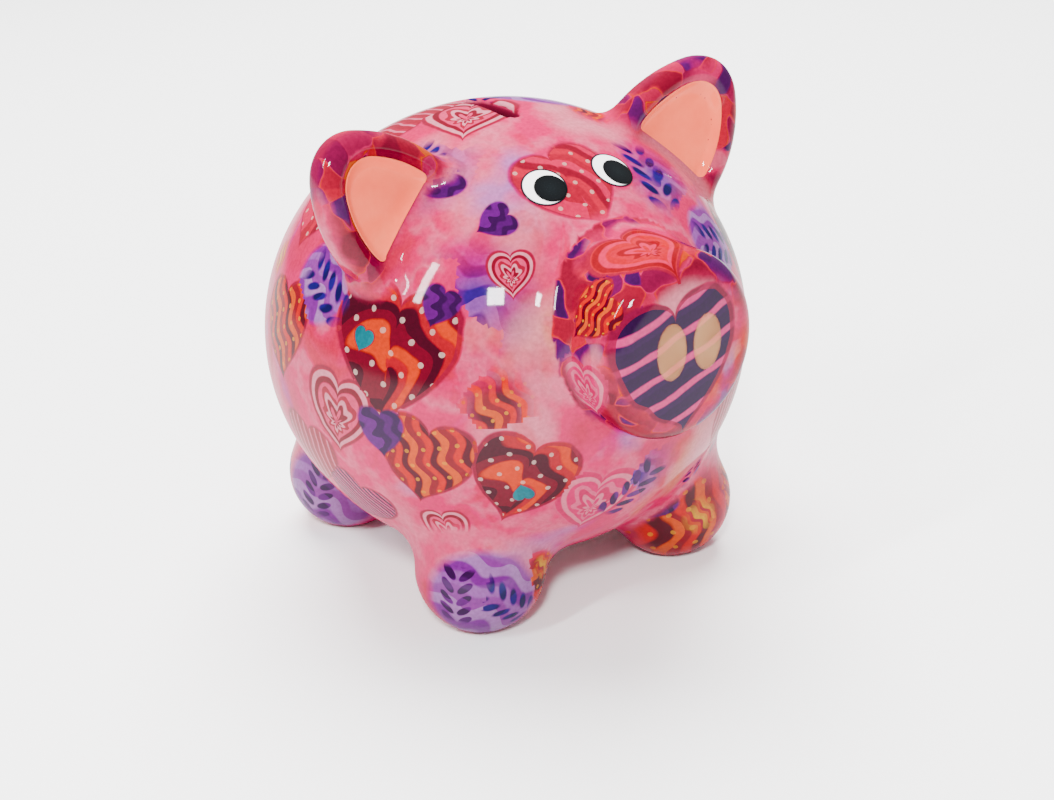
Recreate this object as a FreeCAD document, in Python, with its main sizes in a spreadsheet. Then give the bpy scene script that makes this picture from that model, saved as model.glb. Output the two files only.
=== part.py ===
"""Piggy bank in slip-cast, glazed earthenware.

A round hollow body carries a snout, two ears, four legs and a tail, each cast or pressed
by itself and luted to the body with slip. Printed transfers make the eyes, the nostrils
and the plain patches in the ears. A soft stopper closes the hole in the belly, and the
coins drop in through a slot along the spine.

Frame: millimetres, +Z up, table at Z = 0, the pig looks along -Y and its left side is +X.
The origin is on the table, under the middle of the whole object's box.
"""
import FreeCAD, Part
import os

import Sketcher

DRIVING_SIZES = [
    # body casting
    ("body_width", 150.0, "outside width and length of the round body"),
    ("body_height", 141.0, "outside height of the round body"),
    ("belly_gap", 4.5, "gap between the belly and the table"),
    ("wall", 4.5, "thickness of the cast wall"),
    # coin slot
    ("slot_length", 34.0, "coin slot along the spine"),
    ("slot_width", 5.0, "coin slot across the spine"),
    ("slot_setback", 6.0, "middle of the slot behind the top of the body"),
    # belly hole and stopper
    ("hole_diameter", 30.0, "hole that the coins come out of"),
    ("seat_clearance", 1.0, "flat recess in the belly outside the stopper's flange"),
    ("flange_recess", 1.2, "underside of the flange above the lowest point of the belly"),
    ("stopper_clearance", 0.1, "between the stopper's neck and the hole"),
    ("flange_overlap", 3.5, "stopper's flange outside the hole"),
    ("flange_thickness", 2.4, "stopper's flange"),
    ("neck_length", 11.0, "stopper's neck above the flange"),
    ("neck_lead_in", 2.0, "chamfer at the end of the stopper's neck"),
    ("grip_dish_margin", 6.0, "flange outside the dish that the finger grip stands in"),
    ("grip_dish_depth", 1.2, "dish under the flange"),
    ("grip_width", 4.0, "bar across the dish"),
    # snout
    ("snout_diameter", 53.4, "snout"),
    ("snout_length", 22.0, "straight side of the snout"),
    ("snout_dome", 1.8, "crown of the snout's face"),
    ("snout_rim_radius", 6.0, "rounding of the snout's rim"),
    ("snout_projection", 15.0, "front of the snout ahead of the body's widest part"),
    ("snout_rise_share", 0.292, "snout's middle above the body's, in half heights of the body"),
    ("snout_root", 40.0, "length of the snout's form inside the body"),
    # legs
    ("foot_diameter", 39.6, "ball at the end of a leg"),
    ("leg_top_diameter", 44.0, "leg where it runs into the body"),
    ("leg_length", 46.0, "leg's cone above the middle of the ball"),
    ("leg_lean", 25.0, "lean of each leg away from the body, degrees"),
    ("sole_cut", 2.5, "ground off the ball to make a flat sole"),
    ("leg_spread", 36.5, "middle of each sole from the middle plane"),
    ("front_leg_offset", 35.8, "front soles ahead of the body's axis"),
    ("rear_leg_offset", 46.0, "rear soles behind the body's axis"),
    # ears
    ("ear_forward", 27.0, "front of the ears ahead of the body's axis"),
    ("ear_angle", 45.0, "ears down from the top of the body, degrees"),
    ("ear_twist", 12.0, "lower end of each ear turned forward, degrees"),
    ("ear_upper_arc", 49.0, "radius of the ear's upper edge"),
    ("ear_lower_arc", 41.0, "radius of the ear's outer edge"),
    ("ear_upper_reach", 27.0, "upper edge's root towards the top of the head"),
    ("ear_lower_reach", 15.0, "outer edge's root towards the cheek"),
    ("ear_root_depth", 14.0, "length of the ear's form inside the body"),
    ("ear_thickness", 13.0, "ear from front to back"),
    ("ear_tip_radius", 9.0, "corner at the ear's tip"),
    ("ear_edge_radius", 5.0, "rounding round the ear's front and back"),
    ("ear_rim", 6.0, "rim outside the ear's cup"),
    ("ear_cup_depth", 3.0, "cup in the front of the ear"),
    ("cup_corner_radius", 5.0, "corners of the cup"),
    # tail
    ("tail_inner_radius", 4.6, "middle line of the tail's inner half turn"),
    ("tail_outer_radius", 8.4, "middle line of the tail's outer half turn"),
    ("tail_thickness", 6.6, "tail's round section"),
    ("tail_rise", 12.0, "inner half turn's middle above the body's middle"),
    # printed transfers
    ("print_thickness", 0.3, "each layer of a printed transfer"),
    ("eye_diameter", 13.2, "white of the eye"),
    ("pupil_diameter", 9.4, "black of the eye"),
    ("pupil_aside", 1.3, "pupil towards the pig's left"),
    ("pupil_down", 1.2, "pupil towards the snout"),
    ("eye_spread", 11.8, "middle of each eye from the middle plane"),
    ("eye_angle", 33.6, "eyes down from the top of the body towards the face, degrees"),
    ("nostril_width", 9.8, "nostril"),
    ("nostril_height", 16.4, "nostril"),
    ("nostril_spread", 6.1, "middle of each nostril from the middle plane"),
    ("nostril_rise", 2.2, "nostrils above the snout's middle"),
    ("patch_margin", 0.6, "bare edge between the ear's patch and its cup"),
]

DERIVED_SIZES = [
    ("body_radius", "body_width / 2"),
    ("body_half_height", "body_height / 2"),
    ("body_mid", "belly_gap + body_half_height"),
    ("snout_reach", "body_radius + snout_projection"),
    # the snout keeps clear of the eyes as the body's height changes
    ("snout_rise", "body_half_height * snout_rise_share"),
    ("tail_reach", "body_radius + tail_thickness / 2"),
    ("body_axis", "(snout_reach - tail_reach) / 2"),
    # the recess takes the stopper's flange, and the flange covers the hole's edge
    ("flange_diameter", "hole_diameter + 2 * flange_overlap"),
    ("seat_diameter", "flange_diameter + 2 * seat_clearance"),
    ("grip_dish_diameter", "flange_diameter - 2 * grip_dish_margin"),
    ("seat_level", "belly_gap + flange_thickness + flange_recess"),
    ("floor_level", "seat_level + wall"),
    ("ball_level", "foot_diameter / 2 - sole_cut"),
    # the ear's root lies on the body where its plane cuts the body
    ("ear_section", "sqrt(1 - (ear_forward / body_radius) ^ 2)"),
    ("ear_root_out", "ear_section * body_radius * sin(ear_angle * 1deg)"),
    ("ear_root_up", "ear_section * body_half_height * cos(ear_angle * 1deg)"),
    # the eyes lie on the body, on a section beside the middle plane
    ("eye_section", "sqrt(1 - (eye_spread / body_radius) ^ 2)"),
    ("eye_ahead", "eye_section * body_radius * sin(eye_angle * 1deg)"),
    ("eye_up", "eye_section * body_half_height * cos(eye_angle * 1deg)"),
]

SHEET = "sizes"
FULL_TURN = 360.0
HALF_TURN = 180.0
TOUCH = 0.01

document = FreeCAD.newDocument("piggy_bank")


def make_sheet():
    """The driving sizes as plain numbers, and below them what follows from them."""
    sheet = document.addObject("Spreadsheet::Sheet", SHEET)
    row = 1
    for alias, number, meaning in DRIVING_SIZES:
        sheet.set(f"A{row}", str(number))
        sheet.setAlias(f"A{row}", alias)
        sheet.set(f"B{row}", meaning)
        row += 1
    for alias, formula in DERIVED_SIZES:
        sheet.set(f"A{row}", "=" + formula)
        sheet.setAlias(f"A{row}", alias)
        row += 1
    document.recompute()
    return sheet


sheet = make_sheet()


def size(alias):
    """Value of one cell, for the few places where code has to choose an edge."""
    return float(sheet.get(alias))


def bound(text):
    """An expression in which every sheet alias is written as sizes.alias."""
    aliases = [alias for alias, *_ in DRIVING_SIZES + DERIVED_SIZES]
    for alias in sorted(aliases, key=len, reverse=True):
        text = text.replace(f"<{alias}>", f"{SHEET}.{alias}")
    return text


def place(item, base, turn="rotation(0; 0; 0)"):
    """Bind an object's Placement: base is 'x; y; z', turn is a rotation(...)."""
    item.setExpression("Placement", bound(f"placement(vector({base}); {turn})"))


def primitive(kind, name, base=None, turn="rotation(0; 0; 0)", **sizes):
    """A Part primitive whose sizes and place are bound to the sheet."""
    item = document.addObject(kind, name)
    for key, expression in sizes.items():
        item.setExpression(key, bound(expression))
    if base is not None:
        place(item, base, turn)
    return item


def cut(name, base, tool):
    item = document.addObject("Part::Cut", name)
    item.Base = base
    item.Tool = tool
    return item


def common(name, base, tool):
    item = document.addObject("Part::Common", name)
    item.Base = base
    item.Tool = tool
    return item


def join(name, *shapes):
    item = document.addObject("Part::MultiFuse", name)
    item.Shapes = list(shapes)
    return item


def mirrored(name, source):
    """The same piece on the pig's other side."""
    item = document.addObject("Part::Mirroring", name)
    item.Source = source
    item.Normal = FreeCAD.Vector(1, 0, 0)
    return item


def origin_plane(body, role):
    return next(part for part in body.Origin.OriginFeatures if part.Role == role)


def new_sketch(body, name, role):
    sketch = body.newObject("Sketcher::SketchObject", name)
    sketch.AttachmentSupport = [(origin_plane(body, role), "")]
    sketch.MapMode = "FlatFace"
    return sketch


def fix_point(sketch, edge, end, across, along):
    """Bind one end of an edge to the sheet, measured from the sketch's origin."""
    for kind, expression in (("DistanceX", across), ("DistanceY", along)):
        here = sketch.getPoint(edge, end)
        now = here.x if kind == "DistanceX" else here.y
        index = sketch.addConstraint(Sketcher.Constraint(kind, -1, 1, edge, end, now))
        sketch.setExpression(f"Constraints[{index}]", bound(expression))


def polygon(body, name, role, corners):
    """A closed sketch with straight sides; corners are pairs of expressions."""
    sketch = new_sketch(body, name, role)
    points = [FreeCAD.Vector(number(across), number(along), 0) for across, along in corners]
    for index, point in enumerate(points):
        following = points[(index + 1) % len(points)]
        sketch.addGeometry(Part.LineSegment(point, following), False)
    for index in range(len(points)):
        following = (index + 1) % len(points)
        sketch.addConstraint(Sketcher.Constraint("Coincident", index, 2, following, 1))
    for index, (across, along) in enumerate(corners):
        fix_point(sketch, index, 1, across, along)
    return sketch


def number(expression):
    """What an expression on the sheet comes to now."""
    return float(sheet.evalExpression(bound(expression)))


def pad(body, sketch, name, length, reverse=False):
    feature = body.newObject("PartDesign::Pad", name)
    feature.Profile = sketch
    feature.setExpression("Length", bound(length))
    feature.Reversed = reverse
    return feature


def pocket(body, sketch, name, depth, reverse=False):
    feature = body.newObject("PartDesign::Pocket", name)
    feature.Profile = sketch
    feature.setExpression("Length", bound(depth))
    feature.Reversed = reverse
    return feature


def revolve(body, sketch, name):
    """A full turn about the sketch's upright axis."""
    feature = body.newObject("PartDesign::Revolution", name)
    feature.Profile = sketch
    feature.ReferenceAxis = (sketch, ["V_Axis"])
    feature.Angle = FULL_TURN
    return feature


def round_edges(body, base, name, choose, radius):
    """Fillet the edges of base that choose picks."""
    document.recompute()
    picked = [f"Edge{index}" for index, edge in enumerate(base.Shape.Edges, 1) if choose(edge)]
    feature = body.newObject("PartDesign::Fillet", name)
    feature.Base = (base, picked)
    feature.setExpression("Radius", bound(radius))
    document.recompute()
    return feature


# ---------------------------------------------------------------- body casting

def ellipsoid(name, growth):
    """The round body's form, grown or shrunk all round."""
    return primitive(
        "Part::Ellipsoid", name, base="0; <body_axis>; <body_mid>",
        Radius1=f"<body_half_height> + {growth}",
        Radius2=f"<body_radius> + {growth}",
        Radius3=f"<body_radius> + {growth}")


def coin_slot_form():
    """A slot with round ends that runs along the spine."""
    middle = "<body_axis> + <slot_setback>"
    half_straight = "(<slot_length> - <slot_width>) / 2"
    height = "<body_half_height> * 2"
    straight = primitive(
        "Part::Box", "slot_straight",
        base=f"-<slot_width> / 2; {middle} - {half_straight}; <body_mid>",
        Length="<slot_width>", Width=f"2 * {half_straight}", Height=height)
    ends = [
        primitive(
            "Part::Cylinder", f"slot_{end}_end",
            base=f"0; {middle} {sign} {half_straight}; <body_mid>",
            Radius="<slot_width> / 2", Height=height)
        for end, sign in (("front", "-"), ("rear", "+"))
    ]
    return join("slot_form", straight, *ends)


def make_body_shell(outer):
    """Hollow casting: the cavity, a flat pad round the belly hole, and the slot."""
    cavity = ellipsoid("cavity_form", "-<wall>")
    below_floor = primitive(
        "Part::Cylinder", "below_floor", base="0; <body_axis>; 0",
        Radius="<body_radius>", Height="<floor_level>")
    hollow = cut("hollow_form", cavity, below_floor)
    seat = primitive(
        "Part::Cylinder", "seat_form", base="0; <body_axis>; 0",
        Radius="<seat_diameter> / 2", Height="<seat_level>")
    hole = primitive(
        "Part::Cylinder", "hole_form", base="0; <body_axis>; 0",
        Radius="<hole_diameter> / 2", Height="<body_mid>")
    openings = join("shell_openings", hollow, seat, hole, coin_slot_form())
    return cut("body_shell", outer, openings)


# ---------------------------------------------------------------- snout

def snout_body(name, skin):
    """Short fat drum along its own +Z, its face at Z = 0, grown all round by skin (or shrunk)."""
    body = document.addObject("PartDesign::Body", name)
    sketch = new_sketch(body, name + "_profile", "XZ_Plane")
    radius = number(f"<snout_diameter> / 2 + {skin}")
    crown = number(f"{skin}")
    edge_level = number(f"{skin} - <snout_dome>")
    back = -number("<snout_root> + <snout_length>")
    sagitta = crown - edge_level
    dome_radius = (radius ** 2 + sagitta ** 2) / (2 * sagitta)
    top, corner = FreeCAD.Vector(0, crown, 0), FreeCAD.Vector(radius, edge_level, 0)
    halfway_across = radius / 2
    halfway_up = crown - dome_radius + (dome_radius ** 2 - halfway_across ** 2) ** 0.5
    sketch.addGeometry(Part.Arc(top, FreeCAD.Vector(halfway_across, halfway_up, 0), corner), False)
    sketch.addGeometry(Part.LineSegment(corner, FreeCAD.Vector(radius, back, 0)), False)
    sketch.addGeometry(Part.LineSegment(FreeCAD.Vector(radius, back, 0), FreeCAD.Vector(0, back, 0)), False)
    sketch.addGeometry(Part.LineSegment(FreeCAD.Vector(0, back, 0), top), False)
    dome_start = 1 if sketch.getPoint(0, 1).x > radius / 2 else 2
    dome_end = 3 - dome_start
    sketch.addConstraint(Sketcher.Constraint("Coincident", 0, dome_start, 1, 1))
    sketch.addConstraint(Sketcher.Constraint("Coincident", 1, 2, 2, 1))
    sketch.addConstraint(Sketcher.Constraint("Coincident", 2, 2, 3, 1))
    sketch.addConstraint(Sketcher.Constraint("Coincident", 3, 2, 0, dome_end))
    sketch.addConstraint(Sketcher.Constraint("PointOnObject", 0, 3, -2))
    fix_point(sketch, 1, 1, f"<snout_diameter> / 2 + {skin}", f"{skin} - <snout_dome>")
    fix_point(sketch, 2, 1, f"<snout_diameter> / 2 + {skin}", "-<snout_root> - <snout_length>")
    fix_point(sketch, 3, 1, "0", "-<snout_root> - <snout_length>")
    fix_point(sketch, 3, 2, "0", f"{skin}")
    drum = revolve(body, sketch, name + "_drum")
    face_level = edge_level
    rounded = round_edges(
        body, drum, name + "_rim",
        lambda edge: edge.Closed and abs(edge.BoundBox.ZMin - face_level) < TOUCH
        and edge.BoundBox.ZLength < TOUCH,
        f"<snout_rim_radius> + {skin}")
    body.Tip = rounded
    place(body, "0; <body_axis> - <snout_reach>; <body_mid> + <snout_rise>", "rotation(0; 0; 90)")
    return body


# ---------------------------------------------------------------- legs

def leg_form(name, side, offset, inside):
    """Ball foot and a cone that leans in towards the body; side is +1 or -1.

    inside is how far the form lies within the leg's own surface; its ball rises by the sole's
    cut as well, so that the sole keeps the full wall.
    """
    out = f"{side} * <leg_spread>"
    turn = f"rotation(atan2({offset}; {out}); -<leg_lean>; 0)"
    lift = "<sole_cut>" if inside != "0" else "0"
    base = f"{out}; <body_axis> + {offset}; <ball_level> + {lift}"
    foot_radius = f"<foot_diameter> / 2 - {inside}"
    ball = primitive("Part::Sphere", name + "_ball", base=base, Radius=foot_radius)
    cone = primitive(
        "Part::Cone", name + "_cone", base=base, turn=turn,
        Radius1=foot_radius, Radius2=f"<leg_top_diameter> / 2 - {inside}", Height="<leg_length>")
    return join(name + "_form", ball, cone)


def make_legs(outer):
    """Four hollow castings, trimmed to the body above and ground flat below."""
    below_table = primitive(
        "Part::Box", "below_table", base="-<body_radius>; <body_axis> - <body_radius>; -<foot_diameter>",
        Length="2 * <body_radius>", Width="2 * <body_radius>", Height="<foot_diameter>")
    legs = []
    for end, offset in (("front", "-<front_leg_offset>"), ("rear", "<rear_leg_offset>")):
        for side_name, side in (("left", 1), ("right", -1)):
            name = f"{end}_{side_name}_leg"
            hollow = leg_form(name + "_hollow", side, offset, "<wall>")
            removed = join(name + "_removed", hollow, outer, below_table)
            legs.append(cut(name, leg_form(name, side, offset, "0"), removed))
    return legs


# ---------------------------------------------------------------- ears

EAR_BASE = "<ear_root_out>; <body_axis> - <ear_forward>; <body_mid> + <ear_root_up>"


def ear_turn():
    """Sketch X runs down the cheek, sketch Y away from the head, Z out of the ear's face."""
    stand = "rotation(vector(1; 0; 0); 90)"
    lean = "rotation(vector(0; 0; 1); -<ear_angle>)"
    twist = "rotation(vector(0; 1; 0); -<ear_twist>)"
    return f"{stand} * {lean} * {twist}"


def ear_outline(body, name, inset, bottom):
    """Two arcs that meet at the tip, brought in by inset, and a straight bottom edge."""
    radii = [f"<ear_upper_arc> - {inset}", f"<ear_lower_arc> - {inset}"]
    centres = ["<ear_upper_arc> - <ear_upper_reach>", "<ear_lower_reach> - <ear_lower_arc>"]
    upper_radius, lower_radius = (number(text) for text in radii)
    upper_middle, lower_middle = (number(text) for text in centres)
    level = number(bottom)
    # the arcs' centres lie on the root line, so the tip is where the two circles cross
    gap = upper_middle - lower_middle
    from_lower = (gap ** 2 + lower_radius ** 2 - upper_radius ** 2) / (2 * gap)
    tip = FreeCAD.Vector(lower_middle + from_lower, (lower_radius ** 2 - from_lower ** 2) ** 0.5, 0)
    foot_left = FreeCAD.Vector(upper_middle - (upper_radius ** 2 - level ** 2) ** 0.5, level, 0)
    foot_right = FreeCAD.Vector(lower_middle + (lower_radius ** 2 - level ** 2) ** 0.5, level, 0)
    sketch = new_sketch(body, name, "XY_Plane")
    add_arc(sketch, foot_left, tip, upper_middle, upper_radius)
    add_arc(sketch, tip, foot_right, lower_middle, lower_radius)
    sketch.addGeometry(Part.LineSegment(foot_right, foot_left), False)
    ends = [(0, end_near(sketch, 0, tip), 1, end_near(sketch, 1, tip)),
            (1, end_near(sketch, 1, foot_right), 2, 1),
            (0, end_near(sketch, 0, foot_left), 2, 2)]
    for pair in ends:
        sketch.addConstraint(Sketcher.Constraint("Coincident", *pair))
    for edge in (0, 1):
        arc_radius = sketch.addConstraint(Sketcher.Constraint("Radius", edge, number(radii[edge])))
        sketch.setExpression(f"Constraints[{arc_radius}]", bound(radii[edge]))
        fix_point(sketch, edge, 3, centres[edge], "0")
    sketch.addConstraint(Sketcher.Constraint("Horizontal", 2))
    depth = sketch.addConstraint(Sketcher.Constraint("DistanceY", -1, 1, 2, 1, level))
    sketch.setExpression(f"Constraints[{depth}]", bound(bottom))
    return sketch, (tip, foot_left, foot_right)


def add_arc(sketch, start, finish, middle, radius):
    """An arc about a centre on the root line, from start to finish the short way."""
    centre = FreeCAD.Vector(middle, 0, 0)
    halfway = (start - centre) + (finish - centre)
    crown = centre + halfway.normalize() * radius
    sketch.addGeometry(Part.Arc(start, crown, finish), False)


def end_near(sketch, edge, point):
    """1 or 2: the end of the edge that lies at the point."""
    return min((1, 2), key=lambda end: (sketch.getPoint(edge, end) - point).Length)


def near_corner(corner):
    """Picks the edge along Z that stands at one corner of the ear's outline."""
    def choose(edge):
        box = edge.BoundBox
        upright = box.XLength < TOUCH and box.YLength < TOUCH
        return upright and abs(box.XMin - corner.x) < TOUCH and abs(box.YMin - corner.y) < TOUCH
    return choose


def cup_form(name, inset, depth):
    """A plate with the cup's outline and inset from it, its top in the ear's face."""
    body = document.addObject("PartDesign::Body", name)
    sketch, corners = ear_outline(body, name + "_outline", f"(<ear_rim> + {inset})", inset)
    plate = pad(body, sketch, name + "_plate", depth, True)
    for index, corner in enumerate(corners):
        plate = round_edges(
            body, plate, f"{name}_corner_{index}", near_corner(corner), f"<cup_corner_radius> - {inset}")
    body.Tip = plate
    place(body, EAR_BASE, ear_turn())
    return body


def make_ear_form():
    body = document.addObject("PartDesign::Body", "ear_form")
    sketch, (tip, *_) = ear_outline(body, "ear_outline", "0", "-<ear_root_depth>")
    plate = pad(body, sketch, "ear_plate", "<ear_thickness>", True)
    plate = round_edges(body, plate, "ear_tip", near_corner(tip), "<ear_tip_radius>")
    root = -size("ear_root_depth")
    soft = round_edges(
        body, plate, "ear_edges",
        lambda edge: edge.BoundBox.ZLength < TOUCH and edge.BoundBox.YMax > root + TOUCH,
        "<ear_edge_radius>")
    body.Tip = soft
    place(body, EAR_BASE, ear_turn())
    document.recompute()
    ear = cut("cupped_ear", body, cup_form("cup_form", "0", "<ear_cup_depth>"))
    document.recompute()
    if not ear.Shape.Volume < soft.Shape.Volume:
        raise RuntimeError("the ear's cup cuts nothing")
    return ear


def make_ears(outer):
    left = cut("left_ear", make_ear_form(), outer)
    floor = cup_form("patch_floor", "<patch_margin>", "<ear_cup_depth>")
    above = cup_form("patch_above", "0", "<ear_cup_depth> - <print_thickness>")
    on_ear = cut("patch_form", floor, above)
    left_patch = cut("left_ear_patch", on_ear, outer)
    return [left, mirrored("right_ear", left), left_patch, mirrored("right_ear_patch", left_patch)]


# ---------------------------------------------------------------- tail

def make_tail(outer):
    """A spiral that lies flat on the rump: two half turns, and a ball at each end."""
    pieces = []
    outer_middle = "<tail_outer_radius> - <tail_inner_radius>"
    half_turns = [
        ("inner", "0", "<tail_inner_radius>", "rotation(0; 0; 90)"),
        ("outer", outer_middle, "<tail_outer_radius>", "rotation(0; 180; 90)"),
    ]
    for name, across, radius, turn in half_turns:
        pieces.append(primitive(
            "Part::Torus", f"tail_{name}_turn",
            base=f"{across}; <body_axis> + <body_radius>; <body_mid> + <tail_rise>", turn=turn,
            Radius1=radius, Radius2="<tail_thickness> / 2", Angle3=f"{HALF_TURN}"))
    for name, across in (("tip", "<tail_inner_radius>"), ("root", f"{outer_middle} + <tail_outer_radius>")):
        pieces.append(primitive(
            "Part::Sphere", f"tail_{name}_ball",
            base=f"{across}; <body_axis> + <body_radius>; <body_mid> + <tail_rise>",
            Radius="<tail_thickness> / 2"))
    return cut("tail", join("tail_form", *pieces), outer)


# ---------------------------------------------------------------- printed transfers

def disc_form(name, diameter, side, aside="0", down="0"):
    """A rod square to the body at the eye's place, moved aside and down along the skin."""
    out = f"{side} * <eye_spread>"
    flat = f"sqrt(({out}) ^ 2 + <eye_ahead> ^ 2) / <body_radius> ^ 2"
    rise = "<eye_up> / <body_half_height> ^ 2"
    turn = f"rotation(atan2(-<eye_ahead>; {out}); atan2({flat}; {rise}); 0)"
    at_eye = f"vector({out}; <body_axis> - <eye_ahead>; <body_mid> + <eye_up>)"
    shift = f"vector({aside}; -({down}) * cos(<eye_angle> * 1deg); -({down}) * sin(<eye_angle> * 1deg))"
    rod = primitive("Part::Cylinder", name, Radius=f"{diameter} / 2", Height="2 * <wall>")
    to_skin = "vector(0; 0; -<wall>)"
    rod.setExpression("Placement", bound(
        f"placement({at_eye} + {shift}; {turn}) * placement({to_skin}; rotation(0; 0; 0))"))
    return rod


def make_eyes(outer):
    """A white disc on the glaze, and a black one over it, off its middle."""
    first_layer = ellipsoid("eye_layer", "<print_thickness>")
    second_layer = ellipsoid("pupil_layer", "2 * <print_thickness>")
    pieces = []
    for side_name, side in (("left", 1), ("right", -1)):
        white = disc_form(f"{side_name}_white_rod", "<eye_diameter>", side)
        black = disc_form(
            f"{side_name}_black_rod", "<pupil_diameter>", side, "<pupil_aside>", "<pupil_down>")
        on_glaze = common(f"{side_name}_white_film", white, first_layer)
        over_white = common(f"{side_name}_black_film", black, second_layer)
        pieces.append(cut(f"{side_name}_eye_white", on_glaze, outer))
        pieces.append(cut(f"{side_name}_pupil", over_white, first_layer))
    return pieces


def make_nostrils(snout_form):
    """Two upright ovals on the snout's face."""
    layer = snout_body("nostril_layer", "<print_thickness>")
    pieces = []
    for side_name, side in (("left", 1), ("right", -1)):
        body = document.addObject("PartDesign::Body", f"{side_name}_nostril_form")
        sketch = new_sketch(body, f"{side_name}_nostril_outline", "XY_Plane")
        half_width, half_height = number("<nostril_width> / 2"), number("<nostril_height> / 2")
        sketch.addGeometry(Part.Ellipse(
            FreeCAD.Vector(0, half_height, 0), FreeCAD.Vector(half_width, 0, 0),
            FreeCAD.Vector(0, 0, 0)), False)
        sketch.exposeInternalGeometry(0)
        sketch.addConstraint(Sketcher.Constraint("Coincident", 0, 3, -1, 1))
        sketch.addConstraint(Sketcher.Constraint("Vertical", 1))
        long_axis = sketch.addConstraint(Sketcher.Constraint("Distance", 1, 2 * half_height))
        short_axis = sketch.addConstraint(Sketcher.Constraint("Distance", 2, 2 * half_width))
        sketch.setExpression(f"Constraints[{long_axis}]", bound("<nostril_height>"))
        sketch.setExpression(f"Constraints[{short_axis}]", bound("<nostril_width>"))
        rod = pad(body, sketch, f"{side_name}_nostril_rod", "2 * <snout_rim_radius>")
        rod.Midplane = True
        place(
            body,
            f"{side} * <nostril_spread>; <body_axis> - <snout_reach>;"
            "<body_mid> + <snout_rise> + <nostril_rise>",
            "rotation(0; 0; 90)")
        film = common(f"{side_name}_nostril_film", body, layer)
        pieces.append(cut(f"{side_name}_nostril", film, snout_form))
    return pieces


# ---------------------------------------------------------------- stopper

def make_stopper():
    """Soft plug: a flange in the belly's recess and a neck up through the hole."""
    body = document.addObject("PartDesign::Body", "stopper")
    neck = "<hole_diameter> / 2 - <stopper_clearance>"
    sketch = polygon(body, "stopper_profile", "XZ_Plane", [
        ("0", "-<flange_thickness>"),
        ("<flange_diameter> / 2", "-<flange_thickness>"),
        ("<flange_diameter> / 2", "0"),
        (neck, "0"),
        (neck, "<neck_length> - <neck_lead_in>"),
        (f"{neck} - <neck_lead_in>", "<neck_length>"),
        ("0", "<neck_length>"),
    ])
    revolve(body, sketch, "stopper_solid")
    document.recompute()
    solid = body.Shape.Volume
    dish = new_sketch(body, "grip_outline", "XY_Plane")
    under_flange = "vector(0; 0; -<flange_thickness>)"
    dish.setExpression("AttachmentOffset", bound(f"placement({under_flange}; rotation(0; 0; 0))"))
    radius = number("<grip_dish_diameter> / 2")
    half_bar = number("<grip_width> / 2")
    for sign in (1, -1):
        add_half_dish(dish, radius, half_bar, sign)
    grip = pocket(body, dish, "grip_dish", "<grip_dish_depth>", True)
    body.Tip = grip
    place(body, "0; <body_axis>; <seat_level> - <stopper_clearance>")
    document.recompute()
    if not body.Shape.Volume < solid:
        raise RuntimeError("the grip's dish cuts nothing")
    return body


def add_half_dish(sketch, radius, half_bar, sign):
    """One side of the dish: an arc closed by the edge of the grip's bar."""
    reach = (radius ** 2 - half_bar ** 2) ** 0.5
    left = FreeCAD.Vector(-reach, sign * half_bar, 0)
    right = FreeCAD.Vector(reach, sign * half_bar, 0)
    crown = FreeCAD.Vector(0, sign * radius, 0)
    chord = sketch.addGeometry(Part.LineSegment(left, right), False)
    arc = sketch.addGeometry(Part.Arc(right, crown, left), False)
    arc_start = 1 if sketch.getPoint(arc, 1).x > 0 else 2
    sketch.addConstraint(Sketcher.Constraint("Coincident", chord, 2, arc, arc_start))
    sketch.addConstraint(Sketcher.Constraint("Coincident", chord, 1, arc, 3 - arc_start))
    sketch.addConstraint(Sketcher.Constraint("Coincident", arc, 3, -1, 1))
    sketch.addConstraint(Sketcher.Constraint("Horizontal", chord))
    round_size = sketch.addConstraint(Sketcher.Constraint("Radius", arc, radius))
    sketch.setExpression(f"Constraints[{round_size}]", bound("<grip_dish_diameter> / 2"))
    level = sketch.addConstraint(Sketcher.Constraint("DistanceY", -1, 1, chord, 1, sign * half_bar))
    sketch.setExpression(f"Constraints[{level}]", bound(f"{sign} * <grip_width> / 2"))


# ---------------------------------------------------------------- assembly and export

def check(pieces):
    """Stop if any object failed, or any piece has no sound solid."""
    for item in document.Objects:
        if "Invalid" in item.State or "Error" in item.State:
            raise RuntimeError(f"{item.Label} failed: {item.State}")
    for piece in pieces:
        if piece.Shape.isNull() or not piece.Shape.isValid() or not piece.Shape.Solids:
            raise RuntimeError(f"{piece.Label} has no valid solid")


def export(pieces):
    os.makedirs("parts", exist_ok=True)
    for piece in pieces:
        piece.Shape.exportStep(f"parts/{piece.Label}.step")
        print(piece.Label, len(piece.Shape.Solids), "solid", round(piece.Shape.Volume), "mm3")


def main():
    outer = ellipsoid("outer_form", "0")
    snout_form = snout_body("snout_form", "0")
    removed = join("snout_removed", outer, snout_body("snout_hollow", "-<wall>"))
    pieces = [make_body_shell(outer), cut("snout", snout_form, removed)]
    pieces += make_legs(outer)
    pieces += make_ears(outer)
    pieces.append(make_tail(outer))
    pieces += make_eyes(outer)
    pieces += make_nostrils(snout_form)
    pieces.append(make_stopper())
    document.recompute()
    check(pieces)
    export(pieces)


main()
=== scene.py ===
"""Looks of a glazed earthenware pig bank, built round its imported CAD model.

The castings become one glazed skin, because the real ones are luted together with slip and
fired under one glaze. The skin starts as a voxel remesh of the castings and is then drawn
onto a smooth form: the body, snout, legs, ears and tail blended with soft fillets.
A printed film of hearts, stripes, dots and leaves lies under a clear gloss glaze.
The eye whites, pupils, nostrils, ear patches and the rubber stopper are pieces of their own.
Points are in millimetres from the body's middle until a mesh is finished, then in metres.
"""
import math

import bmesh
import bpy
import numpy as np
from mathutils import Matrix, Vector


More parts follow.
